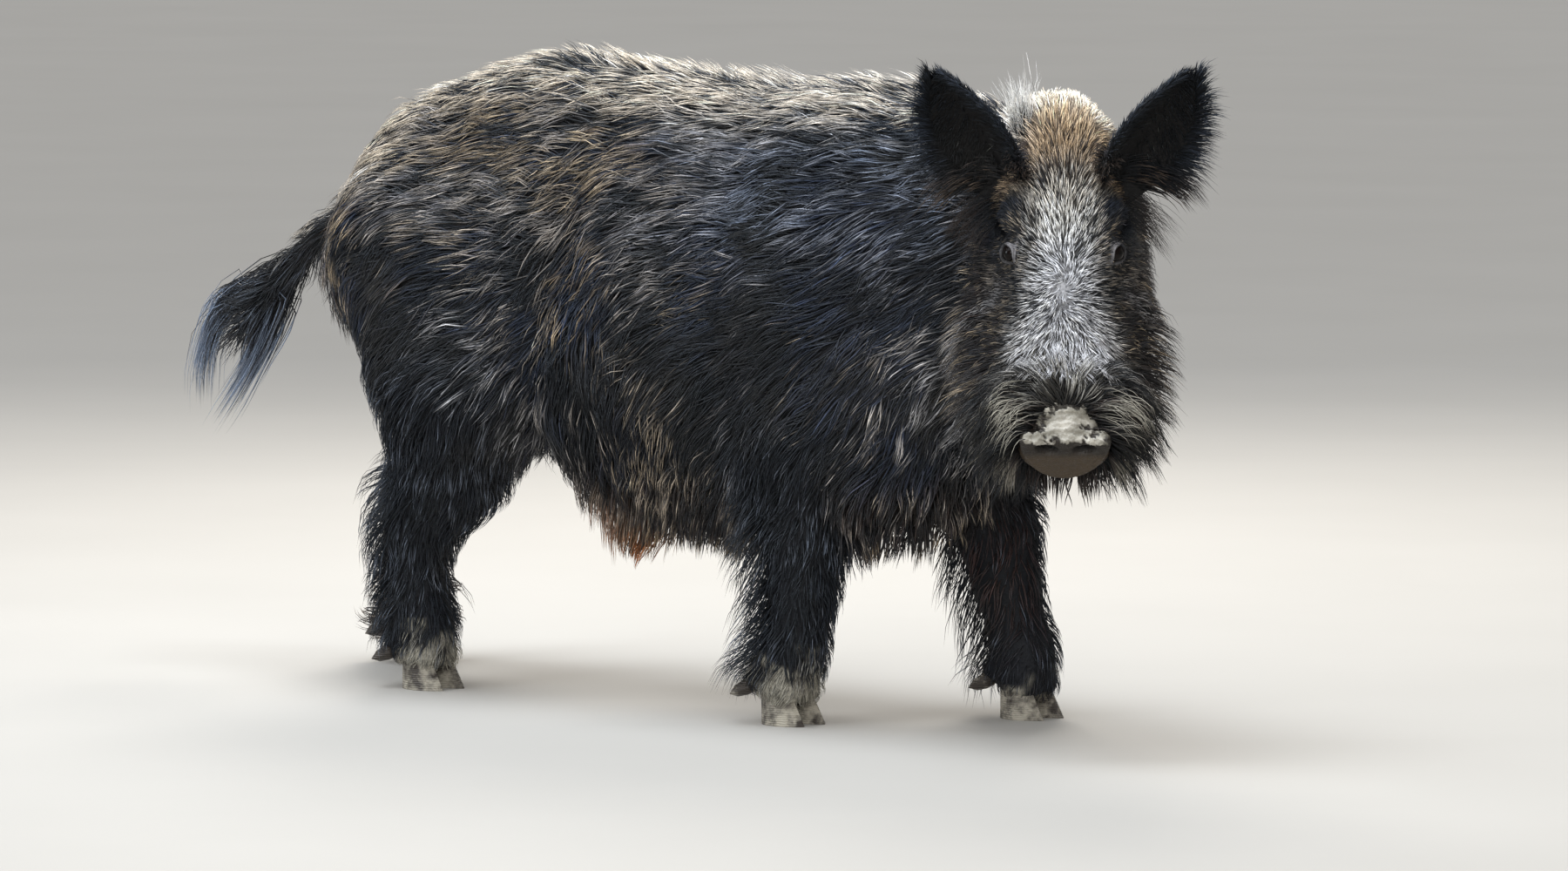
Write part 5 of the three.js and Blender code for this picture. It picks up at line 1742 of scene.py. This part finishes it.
class BOAR_OT_coat_tail(BoarStep, bpy.types.Operator):
    """Grow the tail's long hair, down to its two locks"""

    bl_idname = "boar.coat_tail"
    bl_label = "Coat of the tail"

    def build(self, context):
        body, coat = Body.get(), context.scene.boar_coat
        rng = np.random.default_rng(505)
        density = (body.region == "tail") * 3.8 * coat.density
        density = density * mixed(1.0, 3.0, smooth((-520 - body.middle[:, 0]) / 60))
        p, _, normal, shares, way = planted(body, density, rng)
        x, y = p[:, 0], p[:, 1]
        far = smooth((-430 - x) / 130)
        long = mixed(46.0, 0.75 * coat.tail / MM, far) * rng.uniform(0.65, 1.15, len(p))
        rise = mixed(14.0, 19.0, far) * rng.uniform(0.3, 1.2, len(p))
        below = smooth((-normal[:, 2] + 0.1) / 0.6)
        path = grown(body, p, normal, way, long, rise, 0.06 + 0.34 * below * (1 - far), 4, rng, wave=0.14,
                     lift=0.22, spread=0.1, free=0.4 + 0.6 * smooth((-540 - x) / 40), swirl=0.1)
        path, lock = clumped(path, p, 14, 0.6, rng)
        marks = markings(p, normal, *shares)
        turn = np.arctan2(y, normal[:, 2]) / (2 * math.pi) + 0.5
        place = np.stack([(x + 660) / 300, turn], axis=1)
        colour = shaded(marks, lock, path.shape[1], rng)
        batches = [(path, normal, rng.uniform(1.1, 2.2, len(p)), colour, place)]
        # the two long locks at its end
        pick = np.flatnonzero(x < -505)
        pick = pick[rng.permutation(len(pick))[:int(720 * coat.density)]]
        n, steps = len(pick), 7
        upper = rng.uniform(size=n) < 0.55
        t = np.linspace(0, 1, steps)
        begin, end = rng.uniform(0.02, 0.4, n), 1 - 0.46 * rng.uniform(0, 1, n) ** 1.2
        at = begin[:, None] + (end - begin)[:, None] * t
        off = rng.normal(size=(n, 3)) * 6
        path = np.empty((n, steps, 3))
        for which, guide in enumerate(TAIL_LOCKS):
            line = np.array(guide, float)
            knots = np.linspace(0, 1, len(line))
            mine = upper == (which == 0)
            spots = [spline(knots, line[:, k], at[mine].ravel()) for k in range(3)]
            path[mine] = np.stack(spots, axis=1).reshape(-1, steps, 3)
        splay = 1.9 * (1.06 - at) ** 0.45 + 0.75 * smooth((at - 0.65) / 0.35)
        path += off[:, None] * splay[..., None]
        path[:, :, 2] += 3 * np.sin(at * 9 + rng.uniform(0, 6.3, n)[:, None]) * (1 - at)
        path = mixed(p[pick][:, None] - normal[pick][:, None], path, smooth(t * 2.4)[None, :, None])
        marks = marks.picked(pick)
        marks.root, marks.start = marks.root * 1.5, marks.start * 0.7
        # bright steel tips on the locks: grey-blue tips and a painted blue sheen
        marks.lay(np.ones(n), tip=(INK["steel"] * 2.6, 0.7), least=0.7)
        colour = shaded(marks, np.arange(n), steps, rng)
        batches.append((path, normal[pick], rng.uniform(1.0, 2.0, n), colour, place[pick]))
        coat_piece("coat_tail", batches, "leg")


class BOAR_OT_stage(BoarStep, bpy.types.Operator):
    """Set the plain floor, the soft light and the camera"""

    bl_idname = "boar.stage"
    bl_label = "Stage"

    def build(self, context):
        scene, settings = context.scene, context.scene.boar_stage
        mesh = bpy.data.meshes.new("floor")
        corners = [(30 * a, 30 * b, 0) for a, b in ((-1, -1), (1, -1), (1, 1), (-1, 1))]
        mesh.from_pydata(corners, [], [(0, 1, 2, 3)])
        floor = bpy.data.objects.new("floor", mesh)
        floor.data.materials.append(material_for("floor"))
        scene.collection.objects.link(floor)
        world = bpy.data.worlds.new("Plain surround")
        world.use_nodes = True
        world.node_tree.nodes["Background"].inputs[0].default_value = (*settings.sky, 1)
        world.node_tree.nodes["Background"].inputs[1].default_value = 0.5 * settings.light
        scene.world = world
        for name, place, size, power, tint in LAMPS:
            lamp = bpy.data.lights.new(name, "AREA")
            lamp.size, lamp.energy, lamp.color = size, power * settings.light, tint
            light = bpy.data.objects.new(name, lamp)
            light.location = place
            to_boar = Vector((0, 0, 0.4)) - Vector(place)
            light.rotation_euler = to_boar.to_track_quat("-Z", "Y").to_euler()
            scene.collection.objects.link(light)
        sky = bpy.data.lights.new("soft_sky", "SUN")
        sky.energy, sky.angle, sky.color = 2.3 * settings.light, math.radians(70), (0.93, 0.96, 1.0)
        light = bpy.data.objects.new("soft_sky", sky)
        light.rotation_euler = Vector((0.1, 0.35, -1)).to_track_quat("-Z", "Y").to_euler()
        scene.collection.objects.link(light)
        data = bpy.data.cameras.new("camera")
        data.lens, data.sensor_width, data.clip_end = CAMERA["lens"], 36, 60
        camera = bpy.data.objects.new("camera", data)
        turn, rise = math.radians(CAMERA["turn"]), math.radians(CAMERA["rise"])
        level = math.cos(rise)
        back = Vector((math.sin(turn) * level, -math.cos(turn) * level, math.sin(rise)))
        camera.location = Vector(placed(np.array(CAMERA["aim"]))) + back * CAMERA["away"]
        camera.rotation_euler = (-back).to_track_quat("-Z", "Y").to_euler()
        scene.collection.objects.link(camera)
        scene.camera = camera
        scene.view_settings.view_transform = "Standard"


STEPS = (
    BOAR_OT_skin, BOAR_OT_eyes, BOAR_OT_hooves, BOAR_OT_coat_trunk, BOAR_OT_coat_legs,
    BOAR_OT_coat_head, BOAR_OT_coat_wisps, BOAR_OT_coat_ears, BOAR_OT_coat_tail, BOAR_OT_stage,
)


class BOAR_PT_panel(bpy.types.Panel):
    """The boar's pieces and the stage"""

    bl_idname = "BOAR_PT_panel"
    bl_label = "Wild boar"
    bl_space_type = "VIEW_3D"
    bl_region_type = "UI"
    bl_category = "Boar"

    def draw(self, context):
        for step in STEPS:
            self.layout.operator(step.bl_idname)
        for group in (context.scene.boar_coat, context.scene.boar_stage):
            box = self.layout.box()
            for name in group.__annotations__:
                box.prop(group, name)


CLASSES = (BoarCoatSettings, BoarStageSettings, *STEPS, BOAR_PT_panel)


def register():
    for one in CLASSES:
        bpy.utils.register_class(one)
    bpy.types.Scene.boar_coat = PointerProperty(type=BoarCoatSettings)
    bpy.types.Scene.boar_stage = PointerProperty(type=BoarStageSettings)


def unregister():
    del bpy.types.Scene.boar_coat, bpy.types.Scene.boar_stage
    for one in reversed(CLASSES):
        bpy.utils.unregister_class(one)


def main():
    register()
    for step in STEPS:
        group, name = step.bl_idname.split(".")
        getattr(getattr(bpy.ops, group), name)()


if __name__ == "__main__":
    main()
